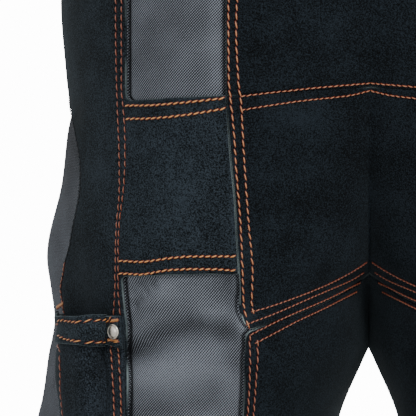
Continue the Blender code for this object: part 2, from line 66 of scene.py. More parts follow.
# The leg's sections, from the waist down. outer_x and inner_x are its widest places, front_x its foremost
# line, front_y and side_y the depth of that line and of the widest place. outer_turn and inner_turn are the
# angles round the leg, from its foremost line, at which the cloth ends.
SECTION_COLUMNS = (
    "z", "outer_x", "front_x", "inner_x", "front_y", "side_y", "outer_turn", "inner_turn",
)
SECTIONS = (
    (30, -160.0, -42, 0.0, -111, 0, 112, 10),
    (0, -163.0, -45, 0.0, -113, 0, 112, 11),
    (-60, -168.0, -56, 0.0, -117, 1, 112, 15),
    (-140, -170.4, -74, 0.0, -118, 2, 112, 23),
    (-196, -166.8, -82, 0.0, -115, 2, 116, 34),
    (-215, -169.0, -83, 0.0, -113, 2, 118, 40),
    (-240, -171.8, -85, 0.0, -111, 3, 120, 48),
    (-284, -181.4, -88, 0.0, -106, 4, 122, 60),
    (-300, -179.4, -89, -1.2, -105, 4, 122, 76),
    (-318, -177.2, -90, -1.2, -103, 4, 124, 92),
    (-331, -179.0, -91, -1.3, -101, 5, 126, 97),
    (-337, -180.4, -91, -3.8, -101, 5, 126, 98),
    (-371, -183.4, -97, -18.1, -98, 6, 128, 103),
    (-440, -183.0, -106, -33.0, -95, 6, 130, 108),
    (-520, -180.0, -112, -43.0, -93, 6, 130, 110),
    (-600, -177.0, -116, -51.0, -82, 10, 126, 108),
    (-700, -178.0, -119, -57.0, -74, 16, 120, 106),
    (-800, -184.0, -121, -58.0, -76, 18, 116, 104),
)

# Where the seams that run down the leg lie: the side panel's outer edge as a turn round the leg, its front
# edge and the lap panel's outer edge as seen from the front.
SEAM_COLUMNS = ("z", "side_turn", "front_x", "lap_x")
SEAMS = (
    (30, -100, -131.0, -78.0),
    (-140, -102, -136.3, -80.3),
    (-190, -95, -136.2, -80.1),
    (-205, -78, -135.8, -79.2),
    (-216, -68, -135.3, -78.4),
    (-231, -62, -135.2, -77.2),
    (-251, -60, -136.2, -75.2),
    (-273, -63, -138.0, -74.0),
    (-290, -72, -138.6, -72.9),
    (-302, -77, -137.8, -72.4),
    (-312, -77, -136.8, -71.8),
    (-323, -73, -135.6, -69.4),
    (-345, -72.5, -135.3, -69.4),
    (-371, -66.5, -135.2, -70.4),
    (-480, -64, -136.6, -78.0),
    (-800, -62, -138.0, -88.0),
)

# Seams and edges that run across the leg: their height at each of its five lengthwise lines.
ACROSS = {
    # edge, side, front, lap, inner
    "top": (26, 26, 26, 26, 26),
    "band_foot": (-24, -24, -24, -24, -24),
    "cross": (-196, -196, -196, -193, -188),
    "patch_foot": (-296, -295, -293.5, -291.8, -262),
    "slant": (-314, -314.4, -315.4, -322.8, -290.5),
    "side_foot": (-494, -494, -494, -490, -472),
    "hem": (-794, -798, -800, -800, -792),
}

# The folds: each runs from one turn and height to another and stands out, or in, by its depth.
FOLDS = (
    # turn_a, z_a, turn_b, z_b, depth, width
    (-62, -300, -58, -400, -9.0, 34),  # hollow behind the knife pocket
    (-96, -196, -70, -204, -1.2, 9),  # nick in the outer edge below the hip
    (-30, -337, -5, -320, -5.2, 6.5),  # slanting trough across the twill below the patch
    (2, -322, 12, -330, -2.4, 6),
    (-22, -351, 2, -340, 2.8, 8),
    (7, -297, 13, -309, -3.4, 6),
    (-2, -316, 5, -313, 1.8, 4),
    (-28, -309, -20, -297, -2.0, 2.8),  # puckers at its upper corner
    (-29, -301, -25, -296, -1.6, 2.2),
    (-25, -309, -16, -301, 1.2, 3.5),
    (-3, -342, 8, -339, -1.8, 4),
    (-24, -374, 6, -362, -3.0, 7),
    (-35, -520, 5, -505, -4.5, 12),  # creases above and below the knee
    (-30, -548, 12, -560, -4.0, 12),
    (15, -590, 60, -570, -3.5, 12),
    (-80, -560, -40, -590, -4.0, 14),
    (-95, -380, -100, -470, 4.0, 14),
    (-100, -600, -84, -800, 6.0, 16),  # flutes that open towards the hem
    (-50, -640, -46, -800, -5.0, 16),
    (-8, -660, -6, -800, 3.5, 18),
    (34, -650, 40, -800, -4.0, 14),
    (74, -640, 78, -800, 5.0, 15),
)
CREASE_WIDTH = 12
CREASES = [fold for fold in FOLDS if fold[-1] < CREASE_WIDTH]  # the narrow ones, whose ridges are painted lighter and hollows darker
ROUND = 1.6  # millimetres round the leg for each degree of turn
FOLD_FADE = 6  # degrees beside the centre line over which folds fade out


# ---------------------------------------------------------------- curves and tables


def smooth(x, xs, ys):
    """The curve through the points (xs, ys), with no overshoot between them; xs rises."""
    xs, ys, x = np.asarray(xs, float), np.asarray(ys, float), np.asarray(x, float)
    step = np.diff(xs)
    slope = np.diff(ys) / step
    before, after = slope[:-1], slope[1:]
    total = np.where(before + after == 0, 1, before + after)
    inside = np.where(before * after > 0, 2 * before * after / total, 0)
    tangent = np.concatenate([slope[:1], inside, slope[-1:]])
    i = np.clip(np.searchsorted(xs, x) - 1, 0, len(xs) - 2)
    t = np.clip((x - xs[i]) / step[i], 0, 1)
    rise = ys[i + 1] - ys[i]
    return (
        ys[i]
        + rise * t * t * (3 - 2 * t)
        + step[i] * t * (1 - t) * (tangent[i] * (1 - t) - tangent[i + 1] * t)
    )


def table_value(table, columns, name, z):
    """A table's named column at the heights z; its rows run downwards."""
    rows = np.array(table, float)[::-1]
    return smooth(z, rows[:, 0], rows[:, columns.index(name)])


def section(name, z):
    return table_value(SECTIONS, SECTION_COLUMNS, name, z)


def seam(name, z):
    return table_value(SEAMS, SEAM_COLUMNS, name, z)


def unit(vectors):
    return vectors / np.linalg.norm(vectors, axis=-1, keepdims=True)


def bell(distance, width):
    return np.exp(-((distance / width) ** 2))


# ---------------------------------------------------------------- the leg's surface


def fold_lift(turn, z, folds):
    """How far the folds move the cloth outwards at a turn and a height."""
    lift = np.zeros(np.broadcast(turn, z).shape)
    for turn_a, z_a, turn_b, z_b, depth, width in folds:
        along = np.array([(turn_b - turn_a) * ROUND, z_b - z_a])
        across_x, across_z = (turn - turn_a) * ROUND, z - z_a
        share = np.clip((across_x * along[0] + across_z * along[1]) / (along @ along), 0, 1)
        off = (across_x - share * along[0]) ** 2 + (across_z - share * along[1]) ** 2
        lift = lift + depth * np.exp(-off / width**2)
    return lift


def leg_point(turn, z):
    """Points of the twill's outer face on the right leg at turns in degrees and heights."""
    angle = np.radians(turn)
    front_x, inner_x = section("front_x", z), section("inner_x", z)
    end = np.radians(np.minimum(section("inner_turn", z), 90))
    outer_half = front_x - section("outer_x", z)
    inner_half = (inner_x - front_x) / np.sin(end)
    side_y = section("side_y", z)
    depth = side_y - section("front_y", z)
    half = np.where(turn < 0, outer_half, inner_half)
    lift = fold_lift(turn, z, FOLDS)
    lift = lift * np.clip((section("inner_turn", z) - turn) / FOLD_FADE, 0, 1)
    length = np.hypot(depth * np.sin(angle), half * np.cos(angle))
    out_x, out_y = depth * np.sin(angle) / length, -half * np.cos(angle) / length
    x = front_x + half * np.sin(angle) + lift * out_x
    y = side_y - depth * np.cos(angle) + lift * out_y
    return np.stack([x, y, np.broadcast_to(z, x.shape)], axis=-1)


# Each height's girth line, measured in millimetres round the leg from its foremost line.
HEIGHTS = np.arange(-812.0, 38.0, 2.0)
TURNS = np.arange(-136.0, 118.0, 1.0)
LEG = leg_point(TURNS[None, :], HEIGHTS[:, None])
STEPS = np.linalg.norm(np.diff(LEG, axis=1), axis=-1)
GIRTH = np.concatenate([np.zeros((len(HEIGHTS), 1)), np.cumsum(STEPS, axis=1)], axis=1)
GIRTH -= GIRTH[:, TURNS == 0]


def looked_up(value, z, from_table, to_table):
    """For each height, the second table's value where the first one's is the given value."""
    value, z = np.broadcast_arrays(np.asarray(value, float), np.asarray(z, float))
    place = np.clip((z - HEIGHTS[0]) / (HEIGHTS[1] - HEIGHTS[0]), 0, len(HEIGHTS) - 1.001)
    row = place.astype(int)
    found = np.empty(value.shape)
    for k in np.unique(row):
        here = row == k
        low = np.interp(value[here], from_table[k], to_table[k])
        high = np.interp(value[here], from_table[k + 1], to_table[k + 1])
        share = place[here] - k
        found[here] = low * (1 - share) + high * share
    return found


TURN_TABLE = np.broadcast_to(TURNS, GIRTH.shape)
MOST_TURN = 88  # degrees from the foremost line, past which the cloth is hidden from the front
FACING = np.abs(TURNS) < MOST_TURN


def girth_at_turn(turn, z):
    return looked_up(turn, z, TURN_TABLE, GIRTH)


def girth_at_x(x, z):
    """How far round the leg the cloth shows at x, seen from the front."""
    return looked_up(x, z, np.maximum.accumulate(LEG[:, FACING, 0], axis=1), GIRTH[:, FACING])


def leg_at(girth, z):
    return leg_point(looked_up(girth, z, GIRTH, TURN_TABLE), z)


def normals_of(surface, u, v, step_u, step_v):
    """Unit normals of a surface whose u runs to the right and whose v runs down, seen from outside."""
    right = surface(u + step_u, v) - surface(u - step_u, v)
    down = surface(u, v + step_v) - surface(u, v - step_v)
    return unit(np.cross(down, right))


CENTRE_ROUND = 14.0  # millimetres beside the centre line over which the cloth turns to face straight ahead
JOINED_X = -0.5  # where the inner edge lies nearer the centre line than this, the legs are joined
NORMAL_STEP = 0.8  # millimetres each way over which a surface's slope is taken
ROUNDS = 3  # of closing in on a point that depends on itself


def leg_surface(girth, z):
    """Points of the twill's outer face, with their outward normals."""
    points = leg_at(girth, z)
    normals = normals_of(leg_at, girth, z, NORMAL_STEP, -NORMAL_STEP)
    near = np.clip(-points[..., 0] / CENTRE_ROUND, 0, 1)
    joined = section("inner_x", z) > JOINED_X
    normals[..., 0] *= np.where(joined, near, 1)
    return points, unit(normals)


def girth_at_face(x, z):
    """How far round the leg a point of the suede's face shows at x, seen from the front."""
    x = np.asarray(x, float)
    girth = girth_at_x(x, z)
    for _ in range(ROUNDS):
        normals = normals_of(leg_at, girth, z, NORMAL_STEP, -NORMAL_STEP)
        girth = girth_at_x(x - FACE * normals[..., 0], z)
    return girth


# ---------------------------------------------------------------- flat patterns

# A pattern point is (girth, z). These are the leg's lengthwise lines, each as its girth at every height.
LINE_GIRTHS = {
    "edge": girth_at_turn(-section("outer_turn", HEIGHTS), HEIGHTS),
    "side": girth_at_turn(seam("side_turn", HEIGHTS), HEIGHTS),
    "front": girth_at_face(seam("front_x", HEIGHTS), HEIGHTS),
    "lap": girth_at_face(seam("lap_x", HEIGHTS), HEIGHTS),
    "inner": girth_at_turn(section("inner_turn", HEIGHTS), HEIGHTS),
}
LINE_NAMES = list(LINE_GIRTHS)


# Where the suede's edges along a lengthwise line turn a corner.
CORNERS = (
    # line, height, radius
    ("lap", -322.8, 5.5),
    ("front", -196.0, 4.0),
    ("front", -293.5, 3.0),
)


def line_girth(name, z):
    """How far round the leg a lengthwise line lies, cut back where it turns a corner."""
    girth = np.interp(z, HEIGHTS, LINE_GIRTHS[name])
    for line, height, radius in CORNERS:
        if line == name:
            off = np.clip(np.abs(z - height), 0, radius)
            girth = girth + (radius - np.sqrt(radius**2 - (radius - off) ** 2))
    return girth


# Distances from a panel's edge at which its cells are cut, so that edge and stitch rows have their form.
RINGS = (0, 0.7, 1.5, 2.4, 3.3, 4.2, 5.2, 6.2, 7.2, 8.3, 9.6, 11.2)
MOST_RINGS = 0.45  # the share of a panel's width that the rings beside one edge may take
CELL, TWILL_CELL, POCKET_CELL = 3.0, 4.6, 2.2
INSET = GAP / 2  # how far a panel stops short of its seams
FIRST_WIDTH = 60.0  # a first guess at a panel's width
WIDTH_SAMPLES = 9  # heights at which it is measured


def ticks(length, cell, near=True, far=True):
    """Cuts along a length, close together beside its open ends. Each is its distance from the start, its
    distance from the end, and how far it lies from the one to the other."""
    first = np.array(RINGS if near else RINGS[:1])
    last = np.array(RINGS[::-1] if far else RINGS[:1])
    count = max(1, math.ceil((length - first[-1] - last[0]) / cell))
    rows = [(d, last[0], 0.0) for d in first]
    rows += [(first[-1], last[0], k / count) for k in range(1, count)]
    rows += [(first[-1], d, 1.0) for d in last]
    return np.array(rows)


def shares_of(cuts, length):
    """The cuts as shares of lengths; both broadcast."""
    near, far, between = cuts[..., 0], cuts[..., 1], cuts[..., 2]
    fit = np.minimum(1, MOST_RINGS * length / max(near.max(), far.max(), 1e-6))
    return (near * fit * (1 - between) + (length - far * fit) * between) / length


def seam_height(name, place):
    """A seam's height at a place counted in lines from the outer edge."""
    return np.interp(place, range(len(LINE_NAMES)), ACROSS[name])


def lattice(lines, seams, cell=CELL, sides=(True, True)):
    """Pattern points of a panel between lengthwise lines and crosswise seams, given by name. Sides say which
    of its two lengthwise edges are open. The panel stops the inset short of an open edge."""
    first = LINE_NAMES.index(lines[0])
    columns = []
    for k in range(len(lines) - 1):
        z = np.linspace(ACROSS[seams[0]][first + k], ACROSS[seams[-1]][first + k], WIDTH_SAMPLES)
        width = (line_girth(lines[k + 1], z) - line_girth(lines[k], z)).max()
        cuts = ticks(width, cell, k > 0 or sides[0], k < len(lines) - 2 or sides[1])
        columns += [(k, *cut) for cut in cuts[k > 0:]]
    rows = []
    for k in range(len(seams) - 1):
        height = max(a - b for a, b in zip(ACROSS[seams[k]], ACROSS[seams[k + 1]]))
        rows += [(k, *cut) for cut in ticks(height, cell)[k > 0:]]
    columns, rows = np.array(columns), np.array(rows)
    strip, band = columns[:, 0].astype(int), rows[:, 0].astype(int)
    shape = len(rows), len(columns)
    share = np.broadcast_to(shares_of(columns[:, 1:], FIRST_WIDTH), shape)
    for _ in range(ROUNDS):
        place = first + strip + share
        edge = np.array([seam_height(name, place) for name in seams])
        edge[0] -= INSET
        edge[-1] += INSET
        top = np.take_along_axis(edge, np.broadcast_to(band[:, None], shape)[None], 0)[0]
        foot = np.take_along_axis(edge, np.broadcast_to(band[:, None] + 1, shape)[None], 0)[0]
        down = shares_of(rows[:, None, 1:], top - foot)
        z = top * (1 - down) + foot * down
        line = np.array([line_girth(name, z) for name in lines])
        line[0] += INSET * sides[0]
        line[-1] -= INSET * sides[1]
        left = np.take_along_axis(line, np.broadcast_to(strip, shape)[None], 0)[0]
        right = np.take_along_axis(line, np.broadcast_to(strip + 1, shape)[None], 0)[0]
        share = shares_of(columns[None, :, 1:], right - left)
    girth = left * (1 - share) + right * share
    present = np.ones((len(rows) - 1, len(columns) - 1), bool)
    return {"flat": np.stack([girth, z], axis=-1), "present": present, "band": band, "strip": strip}


def on_leg(grid, left=False):
    """A lattice laid on the right leg, or turned over onto the left one."""
    flat, present = grid["flat"], grid["present"]
    points, normals = leg_surface(flat[..., 0], flat[..., 1])
    turn = looked_up(flat[..., 0], flat[..., 1], GIRTH, TURN_TABLE)
    fold = fold_lift(turn, flat[..., 1], CREASES)
    if left:
        turned = (-1, 1, 1)
        points, normals = (points * turned)[:, ::-1], (normals * turned)[:, ::-1]
        flat, present, fold = (flat * (-1, 1))[:, ::-1], present[:, ::-1], fold[:, ::-1]
    return {"flat": flat, "points": points, "normals": normals, "present": present, "fold": fold}


def over_both(grid):
    """A lattice that ends at the centre line, laid on both legs as one piece."""
    flat = grid["flat"].copy()
    flat[..., 0] -= flat[:, -1:, 0]
    right = on_leg(grid)
    right["points"][:, -1, 0] = 0
    right["normals"][:, -1, 0] = 0
    right["normals"][:, -1] = unit(right["normals"][:, -1])

    def across(values, turned):
        return np.concatenate([values, (values * turned)[:, -2::-1]], axis=1)

    return {
        "flat": across(flat, (-1, 1)),
        "points": across(right["points"], (-1, 1, 1)),
        "normals": across(right["normals"], (-1, 1, 1)),
        "fold": across(right["fold"], 1),
        "present": np.concatenate([grid["present"], grid["present"][:, ::-1]], axis=1),
    }


# ---------------------------------------------------------------- shells of cloth


def link(name, mesh):
    obj = bpy.data.objects.new(name, mesh)
    bpy.context.scene.collection.objects.link(obj)
    return obj


def mesh_of(name, points, faces):
    """A mesh from points in millimetres and an array of quads or triangles."""
    mesh = bpy.data.meshes.new(name)
    mesh.from_pydata((points * MM).tolist(), [], faces.tolist())
    mesh.shade_smooth()
    return mesh


def nearest(points, lines):
    """Each flat point's distance from the nearest of some lines."""
    samples = np.concatenate([evenly(line, NEAR_STEP) for line in lines])
    tree = KDTree(len(samples))
    for k, (x, z) in enumerate(samples):
        tree.insert((x, z, 0), k)
    tree.balance()
    found = [tree.find((x, z, 0))[2] for x, z in points.reshape(-1, 2)]
    return np.array(found).reshape(points.shape[:-1])


NEAR_STEP = 0.4  # between the samples of a line to which distances are taken


def way_along(line):
    """How far along a line each of its points lies."""
    return np.concatenate([[0], np.cumsum(np.linalg.norm(np.diff(line, axis=0), axis=1))])


def evenly(line, step):
    """A line's points at even steps along it."""
    line = np.asarray(line, float)
    way = way_along(line)
    places = np.linspace(0, way[-1], max(2, round(way[-1] / step) + 1))
    return np.stack([np.interp(places, way, line[:, k]) for k in range(line.shape[1])], axis=-1)


def rim_of(present):
    """The rim's edges as pairs of (row, column), each with its cell on the left."""
    rows, columns = present.shape
    padded = np.zeros((rows + 2, columns + 2), bool)
    padded[1:-1, 1:-1] = present
    edges = []
    for i, j in zip(*np.nonzero(present)):
        if not padded[i, j + 1]:
            edges.append(((i, j), (i, j + 1)))
        if not padded[i + 1, j + 2]:
            edges.append(((i, j + 1), (i + 1, j + 1)))
        if not padded[i + 2, j + 1]:
            edges.append(((i + 1, j + 1), (i + 1, j)))
        if not padded[i + 1, j]:
            edges.append(((i + 1, j), (i, j)))
    return edges


# How far the face drops at its rim, and is drawn in along its stitch rows.
SUEDE_FORM = {"edge_drop": 0.65, "groove": 0.45}
TWILL_FORM = {"edge_drop": 0.3, "groove": 0.3}
WEBBING_FORM = {"edge_drop": 0.35, "groove": 0.0}


def shell(name, cloth, low, high, rows, edge_drop, groove, relief=None, turned_under=()):
    """A thin closed shell over laid-out cloth, between two distances off it. Its face is rounded at the rim
    and drawn in along its stitch rows. Where its rim is turned under along a line, no cut edge shows."""
    flat, points, normals = cloth["flat"], cloth["points"], cloth["normals"]
    rim = rim_of(cloth["present"])
    rim_lines = [np.array([flat[a], flat[b]]) for a, b in rim]
    from_rim = nearest(flat, rim_lines)
    lift = high - edge_drop * np.exp(-from_rim / EDGE_ROUND)
    if len(rows):
        from_rows = nearest(flat, rows)
        lift -= groove * bell(from_rows, GROOVE_WIDTH)
    # painted light and shade: fold ridges lighter, fold hollows and the seam troughs darker
    lighter = tone_and_painted_light(points) + cloth.get("fold", 0) * FOLD_PAINTED_LIGHT
    if relief is not None:
        lift += relief(flat)
        lighter += relief(flat) * TROUGH_PAINTED_SHADE
    outer = points + normals * lift[..., None]
    inner = points + normals * low
    height, width = flat.shape[:2]
    both = np.concatenate([outer.reshape(-1, 3), inner.reshape(-1, 3)])
    i, j = np.nonzero(cloth["present"])
    a, b = i * width + j, i * width + j + 1
    c, d = b + width, a + width
    back = height * width
    faces = [np.stack([a, d, c, b], axis=-1), np.stack([a, b, c, d], axis=-1) + back]
    start = np.array([p[0] * width + p[1] for p, q in rim])
    end = np.array([q[0] * width + q[1] for p, q in rim])
    faces.append(np.stack([start, end, end + back, start + back], axis=-1))
    faces = np.concatenate(faces)
    used, index = np.unique(faces, return_inverse=True)
    mesh = mesh_of(name, both[used], index.reshape(-1, 4))
    cut = np.exp(-from_rim / CUT_FADE)
    if len(turned_under):
        cut *= 1 - bell(nearest(flat, turned_under), TURNED_UNDER)
    add_attribute(mesh, "cut_edge", np.tile(cut.ravel(), 2)[used])
    add_attribute(mesh, "tone_and_painted_light", np.tile(lighter.ravel(), 2)[used])
    pattern = np.concatenate([flat.reshape(-1, 2)] * 2)[used] * MM
    add_uv(mesh, pattern)
    return link(name, mesh)


EDGE_ROUND = 0.45  # millimetres over which a cut edge rounds off
CUT_FADE = 0.35
TURNED_UNDER = 3.0  # millimetres beside a turned-under rim without a cut edge
FOLD_PAINTED_LIGHT, TROUGH_PAINTED_SHADE = 0.038, 0.34  # painted highlight on a fold's ridge and painted shade in its hollow, and painted shade in a seam's trough, for each mm
GROOVE_WIDTH = 0.8

# Areas seen from the front that are painted lighter or darker: on the suede, the nap's own tone together with
# painted sheen, highlights and shade; on the twill, painted light and shade of its folds and of sides turned
# to or from the light.
TONE_AND_PAINTED_LIGHT_AREAS = (
    # x, z, half_width, half_height, lighter
    (-106, -240, 34, 40, 0.10),  # the patch: the nap's tone, with painted sheen
    (-102, -252, 12, 20, 0.07),
    (-126, -216, 10, 9, 0.06),
    (-148, -228, 7, 18, 0.08),
    (-160, -168, 9, 40, -0.03),
    (-37, -203, 12, 8, 0.30),  # the lap: painted highlights on its hills and along its edge
    (-20, -277, 12, 10, 0.10),
    (-44, -228, 20, 14, 0.04),
    (-18, -244, 18, 26, -0.05),
    (-68.5, -316, 4, 12, 0.36),
    (-71.5, -300, 3, 20, 0.22),
    (-76, -236, 2.5, 34, 0.12),
    (-54, -248, 7, 26, 0.08),
    (-166, -222, 9, 24, -0.24),  # the twill behind the hip: painted shade where it turns from the light
    (-108, -165, 30, 50, -0.07),  # the twill above the patch: painted shade, and a painted highlight beside the lap
    (-86, -166, 4, 45, 0.08),
    (-104, -335, 44, 40, 0.05),  # the twill below the patch: painted light and shade of its folds
    (-116, -301, 14, 7, 0.07),
    (-120, -346, 16, 8, 0.08),
    (-88, -316, 8, 4, 0.10),
    (-84, -303, 9, 8, -0.12),
    (-86, -324, 16, 5, -0.10),
    (-132, -334, 6, 4, -0.14),
    (-74, -342, 5, 8, -0.14),
    (-98, -356, 20, 12, 0.06),
    (30, -200, 20, 16, 0.08),
    (52, -262, 20, 26, -0.05),
    (118, -236, 20, 24, 0.08),
)


def tone_and_painted_light(points):
    """How much lighter or darker the cloth is painted at some points: the suede's nap tone together with
    painted light and shade.
    """
    lighter = np.zeros(points.shape[:-1])
    for x, z, half_width, half_height, amount in TONE_AND_PAINTED_LIGHT_AREAS:
        off = ((points[..., 0] - x) / half_width) ** 2 + ((points[..., 2] - z) / half_height) ** 2
        lighter += amount * np.exp(-off)
    return lighter


def add_attribute(mesh, name, values):
    made = mesh.attributes.new(name, "FLOAT", "POINT")
    made.data.foreach_set("value", np.asarray(values, np.float32))


def add_uv(mesh, pattern):
    """A UV map in metres along the cloth, from a value for each vertex."""
    corner = np.empty(len(mesh.loops), np.int32)
    mesh.loops.foreach_get("vertex_index", corner)
    mesh.uv_layers.new(name="cloth").data.foreach_set("uv", pattern[corner].astype(np.float32).ravel())


# ---------------------------------------------------------------- materials


def linear(code):
    """A colour's linear values from its sRGB hex code."""
    srgb = np.array([int(code[k : k + 2], 16) for k in (0, 2, 4)]) / 255
    values = np.where(srgb <= 0.04045, srgb / 12.92, ((srgb + 0.055) / 1.055) ** 2.4)
    return (*values, 1.0)


def node(tree, kind, inputs=None, output=0, **settings):
    """Adds a node with its settings and its inputs' values or links, and gives the socket it hands on."""
    made = tree.nodes.new("ShaderNode" + kind)
    for name, value in settings.items():
        setattr(made, name, value)
    for name, value in (inputs or {}).items():
        if isinstance(value, bpy.types.NodeSocket):
            tree.links.new(value, made.inputs[name])
        else:
            made.inputs[name].default_value = value
    return made.outputs[output] if len(made.outputs) else made


MIX_SHARE, MIX_FIRST, MIX_SECOND, MIX_COLOUR = 0, 6, 7, 2  # the colour sockets of a Mix node


def new_material(name, **values):
    made = bpy.data.materials.new(name)
    made.use_nodes = True
    shader = made.node_tree.nodes["Principled BSDF"]
    for socket, value in values.items():
        shader.inputs[socket.replace("_", " ")].default_value = value
    return made, made.node_tree, shader


def waves_per(length):
    """The Wave texture's scale for bands one length apart, in millimetres."""
    return math.tau / 20 / (length * MM)


def suede_material(name, dark, light):
    """Split cowhide, buffed to a short nap: no gloss, clouded where the nap lies both ways, flecked where
    single fibres catch the light. Its cut edge shows the paler, undyed split in places."""
    made, tree, shader = new_material(name, Roughness=0.95, Specular_IOR_Level=0.12, Sheen_Weight=0.12,
                                      Sheen_Roughness=0.5, Sheen_Tint=linear("8fa0a8"))
    place = node(tree, "TexCoord", output="Object")
    cloud = node(tree, "TexNoise", {"Vector": place, "Scale": 1 / (CLOUD * MM), "Detail": 3.0})
    fleck = node(tree, "TexNoise", {"Vector": place, "Scale": 1 / (FLECK * MM), "Detail": 2.0,
                                    "Roughness": 0.65})
    # painted sheen, highlights and shade by place, with the nap's own tone
    tone_and_light = node(tree, "Attribute", attribute_name="tone_and_painted_light", output="Fac")
    mottle = node(tree, "TexNoise", {"Vector": place, "Scale": 1 / (MOTTLE * MM), "Detail": 3.0})
    mottle = node(tree, "MapRange", {"Value": mottle, "From Min": 0.35, "From Max": 0.65,
                                     "To Min": LEAST_MOTTLED, "To Max": MOST_MOTTLED})
    tone = node(tree, "Math", {0: tone_and_light, 1: mottle}, operation="MULTIPLY")
    tone = node(tree, "Math", {0: cloud, 1: CLOUD_SHARE, 2: tone}, operation="MULTIPLY_ADD")
    tone = node(tree, "Math", {0: fleck, 1: FLECK_SHARE, 2: tone}, operation="MULTIPLY_ADD")
    tone = node(tree, "MapRange", {"Value": tone, "From Min": DARK_NAP, "From Max": LIGHT_NAP})
    colour = node(tree, "Mix", {MIX_SHARE: tone, MIX_FIRST: linear(dark), MIX_SECOND: linear(light)},
                  output=MIX_COLOUR, data_type="RGBA")
    cut = node(tree, "Attribute", attribute_name="cut_edge", output="Fac")
    wear_and_painted_light = node(tree, "TexNoise", {"Vector": place, "Scale": 1 / (EDGE_WEAR * MM), "Detail": 2.0})
    wear_and_painted_light = node(tree, "MapRange", {"Value": wear_and_painted_light, "From Min": 0.42, "From Max": 0.66,
                                   "To Min": LEAST_WORN, "To Max": MOST_WORN})
    # the pale cut edge is painted paler still beside painted highlights, besides its own wear
    wear_and_painted_light = node(tree, "Math", {0: tone_and_light, 1: EDGE_LIGHTENED, 2: wear_and_painted_light}, operation="MULTIPLY_ADD")
    cut = node(tree, "MapRange", {"Value": cut, "From Min": 0.35, "From Max": 1.0, "To Max": wear_and_painted_light})
    colour = node(tree, "Mix", {MIX_SHARE: cut, MIX_FIRST: colour, MIX_SECOND: linear("b4c6c6")},
                  output=MIX_COLOUR, data_type="RGBA")
    tree.links.new(colour, shader.inputs["Base Color"])
    bump = node(tree, "Bump", {"Height": fleck, "Strength": 0.6, "Distance": NAP_HEIGHT * MM})
    tree.links.new(bump, shader.inputs["Normal"])
    return made


# In millimetres. Real flecks are 0.3 across, too fine to show, so they are drawn coarser.
CLOUD, MOTTLE, FLECK, EDGE_WEAR, NAP_HEIGHT = 20.0, 6.0, 0.8, 22.0, 0.4
CLOUD_SHARE, FLECK_SHARE = 0.6, 2.6  # what each adds to the nap's tone
DARK_NAP, LIGHT_NAP = 1.36, 2.0  # the tones of its darkest and lightest colours
LEAST_MOTTLED, MOST_MOTTLED = 0.4, 1.6  # how unevenly the nap's tone and painted light of a place are spread
LEAST_WORN, MOST_WORN = 0.05, 0.26  # how much of the undyed split the cut edge shows
EDGE_LIGHTENED = 2.6  # how much more it shows where the tone beside it is painted lighter, painted highlights included


def twill_material():
    """Coarse cotton twill, mid grey: steep diagonal ribs of round yarn crossed by the finer lines between
    the picks, so it looks lightly checked."""
    made, tree, shader = new_material("grey_cotton_twill", Roughness=0.9, Specular_IOR_Level=0.2)
    where = node(tree, "UVMap", uv_map="cloth")
    turned = node(tree, "Mapping", {"Vector": where, "Rotation": (0, 0, math.radians(-RIB_LEAN))})
    rib = node(tree, "TexWave", {"Vector": turned, "Scale": waves_per(RIB), **UNEVEN}, output="Fac",
               bands_direction="Y")
    turned = node(tree, "Mapping", {"Vector": where, "Rotation": (0, 0, math.radians(PICK_LEAN))})
    pick = node(tree, "TexWave", {"Vector": turned, "Scale": waves_per(PICK), **UNEVEN}, output="Fac",
                bands_direction="Y")
    cloud = node(tree, "TexNoise", {"Vector": where, "Scale": 1 / (CLOUD * MM), "Detail": 1.0})
    slub = node(tree, "TexNoise", {"Vector": where, "Scale": 1 / (FLECK * MM), "Detail": 2.0})
    # painted light and shade: fold crowns and sides facing the light lighter, hollows, troughs and sides
    # turned away darker
    twill_painted_light = node(tree, "Attribute", attribute_name="tone_and_painted_light", output="Fac")
    tone = twill_painted_light
    for part, share in ((cloud, 0.25), (slub, 0.35), (pick, 0.34), (rib, 0.62)):
        tone = node(tree, "Math", {0: part, 1: share, 2: tone}, operation="MULTIPLY_ADD")
    tone = node(tree, "MapRange", {"Value": tone, "From Min": DARK_TWILL, "From Max": LIGHT_TWILL})
    colour = node(tree, "Mix", {MIX_SHARE: tone, MIX_FIRST: linear("0b0d11"), MIX_SECOND: linear("878d97")},
                  output=MIX_COLOUR, data_type="RGBA")
    tree.links.new(colour, shader.inputs["Base Color"])
    bump = node(tree, "Bump", {"Height": rib, "Strength": 0.5, "Distance": RIB_HEIGHT * MM})
    tree.links.new(bump, shader.inputs["Normal"])
    return made


RIB, RIB_LEAN = 1.22, 50.0  # millimetres apart, and degrees
PICK, PICK_LEAN = 1.08, 46.0
UNEVEN = {"Distortion": 0.5, "Detail": 1.0, "Detail Scale": 3.0}  # as yarn is, in thickness and in line
RIB_HEIGHT = 0.3
DARK_TWILL, LIGHT_TWILL = 0.57, 1.18  # the tones of its darkest and lightest colours


